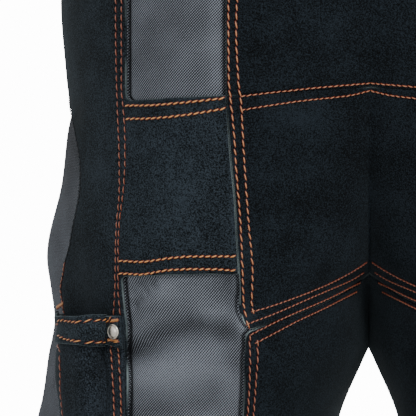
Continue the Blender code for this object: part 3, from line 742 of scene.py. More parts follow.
def thread_material():
    """Waxed polyester thread, orange: two plies twisted together. Each stitch is painted golden as a
    highlight along the crown of its arch, and dark as shade at its flanks and where it dives into the holes.
    Rows that lie deep in their grooves are painted duller, as the groove's shade."""
    made, tree, shader = new_material("waxed_orange_thread", Roughness=0.38, Specular_IOR_Level=0.6)
    where = node(tree, "UVMap", uv_map="cloth")
    along = node(tree, "SeparateXYZ", {0: where}, output="X")
    aside = node(tree, "SeparateXYZ", {0: where}, output="Y")
    along = node(tree, "Math", {0: along}, operation="ABSOLUTE")
    aside = node(tree, "Math", {0: aside}, operation="ABSOLUTE")
    # painted highlight along each stitch's crown, painted shade at its ends and flanks
    arch = node(tree, "MapRange", {"Value": along, "From Min": HOLE_REACH, "From Max": ARCH_REACH},
                interpolation_type="SMOOTHSTEP")
    top = node(tree, "MapRange", {"Value": aside, "From Min": TOP_REACH, "From Max": FLANK_REACH,
                                  "To Min": 1.0, "To Max": 0.04})
    turned = node(tree, "Mapping", {"Vector": where, "Rotation": (0, 0, math.radians(PLY_LEAN))})
    ply = node(tree, "TexWave", {"Vector": turned, "Scale": PLY_TURNS}, output="Fac")
    ply = node(tree, "MapRange", {"Value": ply, "To Min": 0.6, "To Max": 1.0})
    # painted shade of the groove a row lies in
    dull = node(tree, "Attribute", attribute_name="dull", output="Fac")
    groove_unshaded = node(tree, "MapRange", {"Value": dull, "To Min": 1.0, "To Max": 0.5})
    bright = node(tree, "Math", {0: arch, 1: ply}, operation="MULTIPLY")
    bright = node(tree, "Math", {0: bright, 1: top}, operation="MULTIPLY")
    bright = node(tree, "Math", {0: bright, 1: groove_unshaded}, operation="MULTIPLY")
    golden = node(tree, "Mix", {MIX_SHARE: dull, MIX_FIRST: linear("ffbc70"), MIX_SECOND: linear("cc9680")},
                  output=MIX_COLOUR, data_type="RGBA")
    colour = node(tree, "Mix", {MIX_SHARE: bright, MIX_FIRST: linear("6a2106"), MIX_SECOND: golden},
                  output=MIX_COLOUR, data_type="RGBA")
    tree.links.new(colour, shader.inputs["Base Color"])
    return made


PLY_LEAN, PLY_TURNS = 40.0, 0.42
HOLE_REACH, ARCH_REACH = 0.88, 0.25  # shares of half a stitch's length, where its painted shade is darkest and its painted highlight brightest
FLANK_REACH, TOP_REACH = 0.66, 0.1  # and of the thread's radius


def dark_thread_material():
    """Waxed polyester thread in the suede's own near black, with a dull gleam."""
    made, tree, shader = new_material("waxed_black_thread", Roughness=0.55, Specular_IOR_Level=0.3)
    where = node(tree, "UVMap", uv_map="cloth")
    turned = node(tree, "Mapping", {"Vector": where, "Rotation": (0, 0, math.radians(PLY_LEAN))})
    ply = node(tree, "TexWave", {"Vector": turned, "Scale": PLY_TURNS}, output="Fac")
    colour = node(tree, "Mix", {MIX_SHARE: ply, MIX_FIRST: linear("0b0d10"), MIX_SECOND: linear("262b31")},
                  output=MIX_COLOUR, data_type="RGBA")
    tree.links.new(colour, shader.inputs["Base Color"])
    return made


def webbing_material():
    """Black polyester webbing: flat ribs across its width."""
    made, tree, shader = new_material("black_woven_webbing", Roughness=0.6)
    where = node(tree, "UVMap", uv_map="cloth")
    rib = node(tree, "TexWave", {"Vector": where, "Scale": waves_per(WEBBING_RIB)}, output="Fac",
               bands_direction="X")
    colour = node(tree, "Mix", {MIX_SHARE: rib, MIX_FIRST: linear("101113"), MIX_SECOND: linear("2c2f33")},
                  output=MIX_COLOUR, data_type="RGBA")
    tree.links.new(colour, shader.inputs["Base Color"])
    bump = node(tree, "Bump", {"Height": rib, "Strength": 0.6, "Distance": RIB_HEIGHT * MM})
    tree.links.new(bump, shader.inputs["Normal"])
    return made


WEBBING_RIB = 1.6


def plastic_material():
    """Acetal, moulded: black, with a fine spark-eroded grain that softens its gloss."""
    made, tree, shader = new_material("moulded_black_acetal", Roughness=0.42)
    place = node(tree, "TexCoord", output="Object")
    grain = node(tree, "TexNoise", {"Vector": place, "Scale": 1 / (PLASTIC_GRAIN * MM), "Detail": 2.0})
    colour = node(tree, "Mix", {MIX_SHARE: grain, MIX_FIRST: linear("17181a"),
                                MIX_SECOND: linear("26282b")}, output=MIX_COLOUR, data_type="RGBA")
    tree.links.new(colour, shader.inputs["Base Color"])
    bump = node(tree, "Bump", {"Height": grain, "Strength": 0.25, "Distance": GRAIN_HEIGHT * MM})
    tree.links.new(bump, shader.inputs["Normal"])
    return made


PLASTIC_GRAIN, GRAIN_HEIGHT = 0.4, 0.1


def nickel_material():
    """Nickel plate on pressed brass: bright, faintly scuffed."""
    made, tree, shader = new_material("nickel_plated_brass", Metallic=1.0)
    place = node(tree, "TexCoord", output="Object")
    scuff = node(tree, "TexNoise", {"Vector": place, "Scale": 1 / (SCUFF * MM), "Detail": 3.0})
    colour = node(tree, "Mix", {MIX_SHARE: scuff, MIX_FIRST: linear("b9b4a8"),
                                MIX_SECOND: linear("e6e2d8")}, output=MIX_COLOUR, data_type="RGBA")
    rough = node(tree, "MapRange", {"Value": scuff, "To Min": 0.24, "To Max": 0.42})
    tree.links.new(colour, shader.inputs["Base Color"])
    tree.links.new(rough, shader.inputs["Roughness"])
    return made


SCUFF = 1.5


def floor_material():
    """Matt paper sweep, off-white."""
    made, tree, shader = new_material("pale_paper_sweep", Roughness=0.9)
    place = node(tree, "TexCoord", output="Object")
    cloud = node(tree, "TexNoise", {"Vector": place, "Scale": 3.0})
    colour = node(tree, "Mix", {MIX_SHARE: cloud, MIX_FIRST: linear("ececea"),
                                MIX_SECOND: linear("f4f4f2")}, output=MIX_COLOUR, data_type="RGBA")
    tree.links.new(colour, shader.inputs["Base Color"])
    return made


SUEDE_OUTER = suede_material("buffed_split_suede", "030506", "2f3840")
SUEDE_LAP = suede_material("buffed_split_suede_dark", "010203", "1e262d")
SUEDE_POCKET = suede_material("buffed_split_suede_pocket", "040608", "303840")
SUEDE_BAND = suede_material("buffed_split_suede_band", "07090b", "38424a")
TWILL_CLOTH = twill_material()
THREAD = thread_material()
DARK_THREAD = dark_thread_material()
WEAVE = webbing_material()
PLASTIC = plastic_material()
NICKEL = nickel_material()


# ---------------------------------------------------------------- stitches


THREAD_SIDES = 6
STITCH_RINGS = (
    # along, radius, how far it has sunk
    (-1.0, 0.5, 0.9),
    (-0.74, 0.78, 0.4),
    (-0.28, 1.0, 0.0),
    (0.24, 1.0, 0.0),
    (0.7, 0.8, 0.35),
    (1.0, 0.5, 0.9),
)


def stitched(name, rows, finish):
    """All stitches of some rows as one mesh. A row is its points, its outward normals, the stitches' length
    as a share of their pitch, their lean in degrees and the thread's radius."""
    points, uv, faces, dull = [], [], [], []
    base, base_uv = stitch_form()
    used = 0
    for row in rows:
        centre, out = row["points"], row["normals"]
        along = np.gradient(centre, axis=0)
        pitch = np.linalg.norm(along, axis=-1, keepdims=True)
        along = along / pitch
        out = unit(out - (out * along).sum(-1, keepdims=True) * along)
        aside = np.cross(out, along)
        count = np.arange(len(centre))
        lean = np.radians(row["lean"] + LEAN_DRIFT * np.sin(count * LEAN_STEP))[:, None]
        way = along * np.cos(lean) + aside * np.sin(lean)
        across = aside * np.cos(lean) - along * np.sin(lean)
        half = pitch * row["share"] / 2 * (1 + LENGTH_DRIFT * np.sin(count * LENGTH_STEP))[:, None]
        radius = row["radius"]
        made = (
            centre[:, None]
            + base[None, :, 0:1] * (way * half)[:, None]
            + base[None, :, 1:2] * radius * across[:, None]
            + base[None, :, 2:3] * radius * out[:, None]
        )
        points.append(made.reshape(-1, 3))
        uv.append(np.tile(base_uv, (len(centre), 1)))
        dull.append(np.full(len(centre) * len(base), row["dull"]))
        starts = used + count * len(base)
        faces.append((STITCH_FACES[None] + starts[:, None, None]).reshape(-1, 4))
        used += len(centre) * len(base)
    mesh = mesh_of(name, np.concatenate(points), np.concatenate(faces))
    add_uv(mesh, np.concatenate(uv))
    add_attribute(mesh, "dull", np.concatenate(dull))
    return dress(link(name, mesh), finish, "webbing")


LEAN_DRIFT, LENGTH_DRIFT = 4.0, 0.08  # degrees, and a share of the length: hand-fed rows aren't even
LEAN_STEP, LENGTH_STEP = 2.4, 1.7  # how fast each drifts from one stitch to the next


def stitch_form():
    """The points of one stitch, along, across and out, and their place along and across it."""
    angles = np.arange(THREAD_SIDES) * math.tau / THREAD_SIDES
    points, uv = [], []
    for x, radius, sink in STITCH_RINGS:
        points.append(np.stack([np.full(THREAD_SIDES, x), radius * np.cos(angles),
                                radius * np.sin(angles) - sink], axis=-1))
        uv.append(np.stack([np.full(THREAD_SIDES, x), np.cos(angles)], axis=-1))
    return np.concatenate(points), np.concatenate(uv)


def stitch_faces():
    """The faces of one stitch, with two quads at each of its six-sided ends."""
    faces = []
    for i in range(len(STITCH_RINGS) - 1):
        for k in range(THREAD_SIDES):
            a, b = i * THREAD_SIDES + k, i * THREAD_SIDES + (k + 1) % THREAD_SIDES
            faces.append((a, b, b + THREAD_SIDES, a + THREAD_SIDES))
    last = (len(STITCH_RINGS) - 1) * THREAD_SIDES
    faces += [(3, 2, 1, 0), (5, 4, 3, 0)]
    faces += [(last, last + 1, last + 2, last + 3), (last, last + 3, last + 4, last + 5)]
    return np.array(faces)


STITCH_FACES = stitch_faces()


def leg_row(line, pitch, lean, share=0.8, radius=0.5, left=False, lift=None, dull=0.0):
    """A row of stitches along a line of pattern points on a leg."""
    centre = evenly(line, pitch)
    points, normals = leg_surface(centre[:, 0], centre[:, 1])
    points = points + normals * (FACE + THREAD_PROUD if lift is None else lift)
    if left:
        points, normals = points * (-1, 1, 1), normals * (-1, 1, 1)
    return {"points": points, "normals": normals, "lean": -lean if left else lean, "share": share,
            "radius": radius, "dull": dull}


THREAD_PROUD = 0.05  # how far a stitch's middle stands over the cloth's face beside it


def seen(points):
    """Pattern points from points as they show from the front, on the suede's face."""
    points = np.asarray(points, float)
    return np.stack([girth_at_face(points[:, 0], points[:, 1]), points[:, 1]], axis=-1)


ALONG_POINTS, ACROSS_POINTS = 160, 80


def rounded(line, count=ACROSS_POINTS):
    """A smooth line through some points."""
    line = np.asarray(line, float)
    way = way_along(line)
    at = np.linspace(0, way[-1], count)
    return np.stack([smooth(at, way, line[:, 0]), smooth(at, way, line[:, 1])], axis=-1)


def beside(line_name, offset, top, foot):
    """A line along the leg at a distance from one of its lengthwise lines."""
    z = np.linspace(top, foot, ALONG_POINTS)
    return np.stack([line_girth(line_name, z) + offset, z], axis=-1)


def across_leg(seam_name, offset, lines, inset):
    """A line across the leg at a height from one of its crosswise seams, between two lengthwise lines."""
    first, last = (LINE_NAMES.index(name) for name in lines)
    place = np.linspace(first, last, ACROSS_POINTS)
    z = seam_height(seam_name, place) + offset
    edges = np.array([line_girth(name, z) for name in LINE_NAMES])
    index = np.minimum(place.astype(int), len(LINE_NAMES) - 2)
    part = place - index
    column = np.arange(len(place))
    girth = edges[index, column] * (1 - part) + edges[index + 1, column] * part
    line = np.stack([girth, z], axis=-1)
    keep = (girth > girth[0] + inset) & (girth < girth[-1] - inset)
    return line[keep]


# Rows that the thread follows. These are (x, z) seen from the front, from the top or the left.
SEEN_ROWS = {
    "side_near": ((-135.0, -27), (-138.1, -120), (-138.1, -189.4), (-137.2, -199.4), (-136.1, -217.8),
                  (-136.1, -227.8), (-136.8, -242.8), (-139.4, -265.6), (-139.9, -279), (-139.9, -300),
                  (-139.0, -313)),
    "side_far": ((-138.6, -27), (-141.4, -120), (-141.2, -165), (-140.2, -204.4), (-139.4, -224.4),
                 (-139.2, -240), (-139.4, -248.9), (-140.9, -265.6), (-141.3, -276.1), (-141.6, -298.3),
                 (-142.5, -313.3)),
    "patch_top": ((-135.0, -198.8), (-123.9, -198.7), (-110, -197.7), (-95.6, -196.3), (-82.6, -194.8)),
    "patch_top_2": ((-134.6, -206.2), (-124.4, -206), (-111.7, -205), (-97.2, -203.1), (-82.0, -200.5)),
    "patch_foot": ((-138.6, -284.9), (-127.8, -285.4), (-111.7, -283.4), (-100.6, -282.4), (-76.2, -282.2)),
    "patch_foot_2": ((-138.6, -291.9), (-127.8, -292.2), (-111.7, -290), (-98.9, -289.4), (-76.2, -289.4)),
    "lap_far": ((-77.0, -27), (-78.7, -140), (-78.5, -183.9), (-77.6, -194.4), (-75.6, -213.9),
                (-74.4, -233.9), (-72, -263.9), (-70.6, -296.7), (-70.1, -310.6), (-67.9, -319.7)),
    "lap_near": ((-72.6, -27), (-74, -140), (-74.4, -156.7), (-73, -187.2), (-71.8, -195.6),
                 (-70.2, -224.4), (-67.5, -263.9), (-65.3, -292.2), (-65.7, -307.2), (-65, -313)),
    "cross": ((-70.6, -193.5), (-58.3, -191.9), (-45, -190.4), (-31.1, -188.8), (-0.5, -185.9)),
    "cross_2": ((-70.6, -201.1), (-63.3, -199.8), (-38.3, -196), (-11.1, -192.7), (-0.5, -190.2)),
    "slant": ((-65, -313.1), (-47.2, -307.2), (-25.7, -298.6), (-0.8, -284.9)),
    "slant_2": ((-67.8, -319.7), (-52.5, -313.8), (-33.3, -305.4), (-10.6, -295), (-2.5, -290)),
    "low_slant": ((-65.6, -325), (-48.3, -316.7), (-22.2, -305.3), (-5.5, -296.5)),
    "low_slant_2": ((-62.8, -330), (-43.6, -319.8), (-25, -311.1), (-7.5, -302)),
    "low_far": ((-66.6, -327.2), (-66.8, -347.8), (-67.9, -370), (-75.6, -480), (-85.4, -797)),
    "low_near": ((-62.4, -330.6), (-62.4, -338.9), (-63.1, -347.8), (-64.6, -370), (-71.4, -480),
                 (-81.2, -797)),
}


# These run beside a lengthwise line, at a distance from it, between two heights.
ROWS_BESIDE = {
    "leg_edge": ("edge", 7.0, 22, -790),
    "leg_inner": ("inner", -7.0, -300, -788),
    "side_edge": ("side", 2.6, -27, -490),
    "side_edge_shown": ("side", 2.6, -287, -316),
    "side_near_below": ("front", -2.6, -313, -490),
    "side_far_below": ("front", -6.4, -313, -490),
    "low_inner": ("inner", -2.8, -345, -788),
}

# These run over or under a crosswise seam, between two lengthwise lines, and stop short of them.
ROWS_ACROSS = {
    "leg_hem": ("hem", 8.0, ("edge", "inner"), 3.0),
    "side_foot": ("side_foot", 3.0, ("side", "front"), 3.0),
    "side_foot_2": ("side_foot", 7.0, ("side", "front"), 3.0),
    "low_foot": ("hem", 3.0, ("lap", "inner"), 3.0),
    "low_foot_2": ("hem", 7.5, ("lap", "inner"), 3.0),
    "lap_top": ("band_foot", -3.0, ("lap", "inner"), 1.5),
    "facing_top": ("top", -3.0, ("edge", "inner"), 1.5),
    "facing_foot": ("band_foot", 3.0, ("edge", "inner"), 1.5),
}


def row_line(name):
    """A named row as a line of pattern points."""
    if name in ROWS_BESIDE:
        return beside(*ROWS_BESIDE[name])
    if name in ROWS_ACROSS:
        return across_leg(*ROWS_ACROSS[name])
    return seen(rounded(SEEN_ROWS[name]))


def row_lines(*names):
    return [row_line(name) for name in names]


# ---------------------------------------------------------------- dressing


def dress(obj, finish, slot, *nodes):
    """Gives a piece its finish and its place in the frame."""
    obj.data.materials.clear()
    obj.data.materials.append(finish)
    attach(obj, "root")
    if nodes:
        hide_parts(*nodes)
    return obj


# ---------------------------------------------------------------- the legs and their suede

# Kinds of row: the pitch in millimetres, how far each stitch leans in degrees, the share of the pitch it
# covers, the thread's radius and how much duller it is painted, as the shade of the groove it lies in.
VERTICAL = {"pitch": 4.8, "lean": 10.0, "share": 1.02, "radius": 0.62, "dull": 0.4}
SIDE_ROW = {"pitch": 4.8, "lean": 7.0, "share": 0.84, "radius": 0.38, "dull": 0.7}
HORIZONTAL = {"pitch": 3.5, "lean": 14.0, "share": 1.12, "radius": 0.66}
CROSS_ROW = {"pitch": 3.2, "lean": 10.0, "share": 1.04, "radius": 0.48, "dull": 0.5}
SLANT_ROW = {"pitch": 2.7, "lean": 8.0, "share": 1.05, "radius": 0.46, "dull": 0.75}
LOW_ROW = {"pitch": 4.5, "lean": 10.0, "share": 0.96, "radius": 0.5, "dull": 0.75}
HEM_ROW = {"pitch": 4.0, "lean": 0.0, "radius": 0.4}

STITCHES = {"right": [], "left": [], "lap": [], "pocket": [], "dark": []}
LEG_PARTS = "yoke", "thigh", "shin"
TWILL_TROUGHS = (
    # line, how far beside it, depth, width
    ("front", 1.2, 1.5, 1.2),
    ("lap", -1.0, 1.2, 1.0),
)
SEAM_INSET = 9.0  # how far a turned-under edge stops short of its ends


def twill_relief(flat):
    """How far the right leg's twill sinks beside the suede's edges, where the seams pull it down."""
    lift = np.zeros(flat.shape[:-1])
    for name, offset, depth, width in TWILL_TROUGHS:
        lift -= depth * bell(flat[..., 0] - line_girth(name, flat[..., 1]) - offset, width)
    return lift


def twill_relief_left(flat):
    return twill_relief(flat * (-1, 1))


def turned_over(lines, left):
    return [line * (-1, 1) for line in lines] if left else lines


def make_base(side, left):
    """A leg's twill, hemmed with dark thread."""
    seams = "top", "cross", "slant", "hem"
    cloth = on_leg(lattice(("edge", "side", "front", "lap", "inner"), seams, TWILL_CELL), left)
    hems = row_lines("leg_edge", "leg_inner", "leg_hem")
    relief = twill_relief_left if left else twill_relief
    obj = shell(f"leg_{side}", cloth, -TWILL, 0, turned_over(hems, left), relief=relief, **TWILL_FORM)
    dress(obj, TWILL_CLOTH, "grey_twill", *(f"{part}_{side}" for part in LEG_PARTS))
    STITCHES["dark"] += [leg_row(line, **HEM_ROW, left=left, lift=THREAD_PROUD) for line in hems]


def make_panel(name, side, grid, finish, nodes, rows, turned_under=()):
    """A suede panel on one leg; rows are pairs of a kind of stitch and its lines."""
    left = side == "left"
    cloth = on_leg(grid, left)
    grooves = turned_over([line for kind, lines in rows for line in lines], left)
    obj = shell(f"{name}_{side}", cloth, SUEDE_LIFT, FACE, grooves, **SUEDE_FORM,
                turned_under=turned_over(turned_under, left))
    dress(obj, finish, "suede", *nodes)
    for kind, lines in rows:
        sewn = STITCHES["dark" if kind is HEM_ROW else side]
        sewn += [leg_row(line, **kind, left=left) for line in lines]


def make_side(side, left):
    """The outer side panel. On the right it takes in the magnet patch."""
    down = row_lines("side_near", "side_far")
    level = row_lines("side_foot", "side_foot_2")
    nodes = [f"side_{side}"]
    if left:
        grid = lattice(("side", "front"), ("band_foot", "side_foot"))
        below = row_lines("side_near_below", "side_far_below")
        down = [np.concatenate([line, more]) for line, more in zip(down, below)]
    else:
        grid = lattice(("side", "front", "lap"), ("band_foot", "cross", "patch_foot", "side_foot"))
        patch = grid["strip"][1:] == 1
        beside_patch = grid["band"][1:] != 1
        grid["present"][np.ix_(beside_patch, patch)] = False
        nodes.append("patch_right")
        level += row_lines("patch_top", "patch_top_2", "patch_foot", "patch_foot_2")
    rows = (HEM_ROW, row_lines("side_edge")), (SIDE_ROW, down), (HORIZONTAL, level)
    make_panel("side_panel", side, grid, SUEDE_OUTER, nodes, rows)
    if not left:
        STITCHES[side].append(leg_row(row_line("side_edge_shown"), **CROSS_ROW))


def make_lower(side):
    """The panel from the slanting seam to the hem."""
    rows = (
        (SLANT_ROW, row_lines("low_slant", "low_slant_2")),
        (LOW_ROW, row_lines("low_far", "low_near", "low_inner")),
        (HORIZONTAL, row_lines("low_foot", "low_foot_2")),
    )
    grid = lattice(("lap", "inner"), ("slant", "hem"))
    turned = [across_leg("slant", 0.0, ("lap", "inner"), SEAM_INSET)]
    make_panel("lower_panel", side, grid, SUEDE_LAP, [f"lower_{side}"], rows, turned)


def from_centre(lines):
    """Pattern lines of the right leg, measured from the centre line, and the same turned over."""
    moved = [line - np.stack([line_girth("inner", line[:, 1]), 0 * line[:, 1]], axis=-1) for line in lines]
    return moved + [line * (-1, 1) for line in moved]


def make_joined(name, line, seams, node_name, rows):
    """A panel over both legs, from a lengthwise line on the one to that on the other; rows are pairs of a
    kind of stitch and its lines on the right leg."""
    cloth = over_both(lattice(LINE_NAMES[LINE_NAMES.index(line):], seams, sides=(True, False)))
    grooves = from_centre([row for kind, lines in rows for row in lines])
    turned = from_centre([across_leg(seam_name, 0.0, (line, "inner"), SEAM_INSET) for seam_name in seams])
    obj = shell(name, cloth, SUEDE_LIFT, FACE, grooves, **SUEDE_FORM, turned_under=turned)
    dress(obj, SUEDE_LAP, "suede", node_name)
    for left in (False, True):
        STITCHES["lap"] += [leg_row(row, **kind, left=left) for kind, lines in rows for row in lines]


def cut_down(name, low, high):
    """The stretch of a named row between two heights."""
    line = seen(rounded(SEEN_ROWS[name], CUT_POINTS))
    return line[(line[:, 1] > low) & (line[:, 1] < high)]


CUT_POINTS = 400


def make_lap():
    """The waist's facing and the two panels over the lap, whose lengthwise rows break at the cross seam."""
    upper = (
        (VERTICAL, [cut_down("lap_far", -193, 0), cut_down("lap_near", -192, 0)]),
        (HORIZONTAL, row_lines("lap_top")),
        (CROSS_ROW, row_lines("cross")),
    )
    lower = (
        (VERTICAL, [cut_down("lap_far", -320, -196), cut_down("lap_near", -314, -196)]),
        (SLANT_ROW, row_lines("slant", "slant_2")),
        (CROSS_ROW, row_lines("cross_2")),
    )
    facing = ((HORIZONTAL, row_lines("facing_top", "facing_foot")),)
    make_joined("lap_top", "lap", ("band_foot", "cross"), "lap_upper", upper)
    make_joined("lap_foot", "lap", ("cross", "slant"), "lap_middle", lower)
    make_joined("waist_facing", "edge", ("top", "band_foot"), "waistband", facing)


# ---------------------------------------------------------------- the knife pocket

POCKET_COLUMNS = ("z", "depth")
POCKET_DEPTH = (
    (-312, 27.0),
    (-332, 26.0),
    (-371, 20.0),
    (-430, 11.0),
    (-464, 3.0),
    (-472, 0.0),
    (-480, 0.0),
)
POCKET_ARCH = 0.03, 0.80  # the shares of the side panel's width where the arch starts and ends
POCKET_END = 0.99  # where its inner flange ends
POCKET_LEAN = (-0.2, -0.98)  # direction in which the arch stands off, seen from above
POCKET_FORM = (
    # share of the arch's width from its outer foot, share of its depth there
    (0.0, 0.0),
    (0.05, 0.5),
    (0.14, 0.92),
    (0.27, 1.06),
    (0.48, 1.0),
    (0.7, 0.84),
    (0.86, 0.5),
    (0.95, 0.14),
    (1.0, 0.0),
)
POCKET_SHARES = np.linspace(0, POCKET_END, 121)


def pocket_point(share, z):
    """Points of the pocket front's inner face at shares of the side panel's width and heights."""
    left, right = line_girth("side", z), line_girth("front", z)
    points, normals = leg_surface(left * (1 - share) + right * share, z)
    points = points + normals * POCKET_LIFT
    start, end = POCKET_ARCH
    part = (share - start) / (end - start)
    form = np.array(POCKET_FORM)
    rise = smooth(np.clip(part, 0, 1), form[:, 0], form[:, 1])
    depth = table_value(POCKET_DEPTH, POCKET_COLUMNS, "depth", z) * rise
    points[..., 0] += depth * POCKET_LEAN[0]
    points[..., 1] += depth * POCKET_LEAN[1]
    return points


def pocket_surface(share, z):
    return pocket_point(share, z), normals_of(pocket_point, share, z, SHARE_STEP, -NORMAL_STEP)


SHARE_STEP = 0.004  # of the side panel's width


# The pocket's own girth, measured round its arch, and where each x shows on it.
POCKET_TABLE = np.broadcast_to(POCKET_SHARES, (len(HEIGHTS), len(POCKET_SHARES)))
POCKET_FACE = pocket_point(POCKET_TABLE, np.broadcast_to(HEIGHTS[:, None], POCKET_TABLE.shape))
POCKET_GIRTH = np.concatenate([np.zeros((len(HEIGHTS), 1)), np.cumsum(
    np.linalg.norm(np.diff(POCKET_FACE, axis=1), axis=-1), axis=1)], axis=1)
POCKET_X = np.maximum.accumulate(POCKET_FACE[..., 0] + np.arange(len(POCKET_SHARES)) * 1e-6, axis=1)


# The pocket's ends and its band's: their height at the outer edge and at the flange, and how far they bow
# up between.
POCKET_TOP, POCKET_FOOT = (-314.6, -315.6, -0.6), (-478, -478, 0)
BAND_TOP, BAND_FOOT = (-312.8, -315.0, -1.4), (-330.0, -331.8, -1.0)


def pocket_cloth(top, foot):
    """A lattice over the pocket's arch between two of its ends, as laid-out cloth."""
    width = POCKET_GIRTH[:, -1].max()
    columns = ticks(width, POCKET_CELL)
    rows = ticks(abs(foot[0] - top[0]), POCKET_CELL)
    shape = len(rows), len(columns)
    share = np.broadcast_to(shares_of(columns, width), shape)
    high, low = (a * (1 - share) + b * share + bow * np.sin(np.pi * share) for a, b, bow in (top, foot))
    down = shares_of(rows[:, None], high - low)
    z = high * (1 - down) + low * down
    whole = looked_up(np.full(shape, POCKET_END), z, POCKET_TABLE, POCKET_GIRTH)
    girth = INSET + (whole - INSET) * share
    place = looked_up(girth, z, POCKET_GIRTH, POCKET_TABLE)
    points, normals = pocket_surface(place, z)
    present = np.ones((shape[0] - 1, shape[1] - 1), bool)
    return {"flat": np.stack([girth, z], axis=-1), "points": points, "normals": normals, "present": present}


def seen_on_pocket(points, lift):
    """A line on the pocket's girth from points that show from the front on a face that far off it."""
    points = rounded(points)
    share = looked_up(points[:, 0], points[:, 1], POCKET_X, POCKET_TABLE)
    for _ in range(POCKET_ROUNDS):
        normals = pocket_surface(share, points[:, 1])[1]
        below = looked_up(points[:, 0] - lift * normals[:, 0], points[:, 1], POCKET_X, POCKET_TABLE)
        share = (share + below) / 2
    girth = looked_up(share, points[:, 1], POCKET_TABLE, POCKET_GIRTH)
    return np.stack([girth, points[:, 1]], axis=-1)


POCKET_ROUNDS = 4
POCKET_FACE_LIFT = SUEDE  # how far the pocket's face, and its band's back and face, lie off its inner face
BAND_LIFT = SUEDE + GAP
BAND_FACE_LIFT = BAND_LIFT + SUEDE


def pocket_row(line, lift, pitch, lean, share, radius, dull=0.0):
    """A row of stitches along a line on the pocket's girth."""
    centre = evenly(line, pitch)
    place = looked_up(centre[:, 0], centre[:, 1], POCKET_GIRTH, POCKET_TABLE)
    points, normals = pocket_surface(place, centre[:, 1])
    return {"points": points + normals * lift, "normals": normals, "lean": lean, "share": share,
            "radius": radius, "dull": dull}


# Rows on the band's face and on the pocket's, as (x, z) seen from the front.
BAND_ROWS = {
    "band_top": ((-172.9, -317.7), (-168.9, -318.6), (-162.8, -319.3), (-154.4, -319.2), (-143.3, -318.2)),
    "band_foot": ((-172.9, -327.4), (-170.0, -328.9), (-163.9, -329.7), (-156.7, -329.5), (-141, -328.6)),
    "band_end": ((-172.7, -319.5), (-172.7, -326.0)),
    "tack_top": ((-143.3, -317.9), (-138.4, -317.2)),
    "tack_foot": ((-145.4, -328.7), (-139.9, -327.8)),
    "loose_end": ((-145.2, -318.0), (-144.2, -316.4)),
}
POCKET_ROWS = {
    "left": ((-172.3, -333), (-172.2, -353.3), (-170.9, -371), (-170.0, -440), (-170.0, -470)),
    "right": ((-144.1, -331.1), (-142.1, -371.1), (-143.4, -474)),
    "right_2": ((-139.9, -333.6), (-138.2, -367.8), (-139.0, -474)),
}
SIDE_TACK_LINE = (-174.6, -311.0), (-171.0, -308.6)
BAND_ROW = {"pitch": 3.9, "lean": 16.0, "share": 1.0, "radius": 0.52}
POCKET_ROW = {"pitch": 4.5, "lean": 10.0, "share": 0.92, "radius": 0.46, "dull": 0.6}
TACK_TOP = {"pitch": 0.55, "lean": 78.0, "share": 4.4, "radius": 0.36}
TACK_FOOT = {"pitch": 0.6, "lean": 76.0, "share": 2.6, "radius": 0.34}
SIDE_TACK = {"pitch": 0.6, "lean": 60.0, "share": 4.0, "radius": 0.34}


# The pocket's rows with their kinds, in the order they are sewn.
POCKET_SEWING = (
    ("band_top", BAND_ROW),
    ("band_foot", BAND_ROW),
    ("left", POCKET_ROW),
    ("right", POCKET_ROW),
    ("right_2", POCKET_ROW),
    ("band_end", POCKET_ROW),
    ("tack_top", TACK_TOP),
    ("tack_foot", TACK_FOOT),
    ("loose_end", BAND_ROW),
)


def make_folded(name, cloth, low, high, rows, finish, node_name):
    """Suede over the pocket's arch, whose two ends are turned under."""
    ends = [cloth["flat"][:, 0], cloth["flat"][:, -1]]
    obj = shell(name, cloth, low, high, rows, **SUEDE_FORM, turned_under=ends)
    dress(obj, finish, "suede", node_name)


def make_pocket():
    """The pocket and the band folded round its mouth."""
    rows = {name: seen_on_pocket(line, POCKET_FACE_LIFT) for name, line in POCKET_ROWS.items()}
    down = list(rows.values())
    rows.update({name: seen_on_pocket(line, BAND_FACE_LIFT) for name, line in BAND_ROWS.items()})
    across = [rows["band_top"], rows["band_foot"]]
    make_folded("knife_pocket", pocket_cloth(POCKET_TOP, POCKET_FOOT), 0, POCKET_FACE_LIFT, down,
                SUEDE_POCKET, "pocket_front")
    make_folded("knife_pocket_band", pocket_cloth(BAND_TOP, BAND_FOOT), BAND_LIFT, BAND_FACE_LIFT, across,
                SUEDE_BAND, "pocket_band")
    sewn = STITCHES["pocket"]
    for name, kind in POCKET_SEWING:
        face = BAND_FACE_LIFT if name in BAND_ROWS else POCKET_FACE_LIFT
        sewn.append(pocket_row(rows[name], face + THREAD_PROUD, **kind))
    sewn.append(leg_row(seen(rounded(SIDE_TACK_LINE)), **SIDE_TACK))


RIVET_PLACE = -142.6, -324.0  # its x and z, as seen from the front
RIVET_RADIUS, RIVET_WALL, RIVET_SUNK = 4.3, 0.7, 0.3  # sunk is how far it is pressed into the suede
RIVET_DOME = (
    # how far the cap's next ring steps in, and up
    (0.25, 0.3),
    (0.5, 0.05),
    (0.2, -0.18),
    (0.35, 0.42),
    (0.8, 0.5),
    (1.0, 0.28),
)


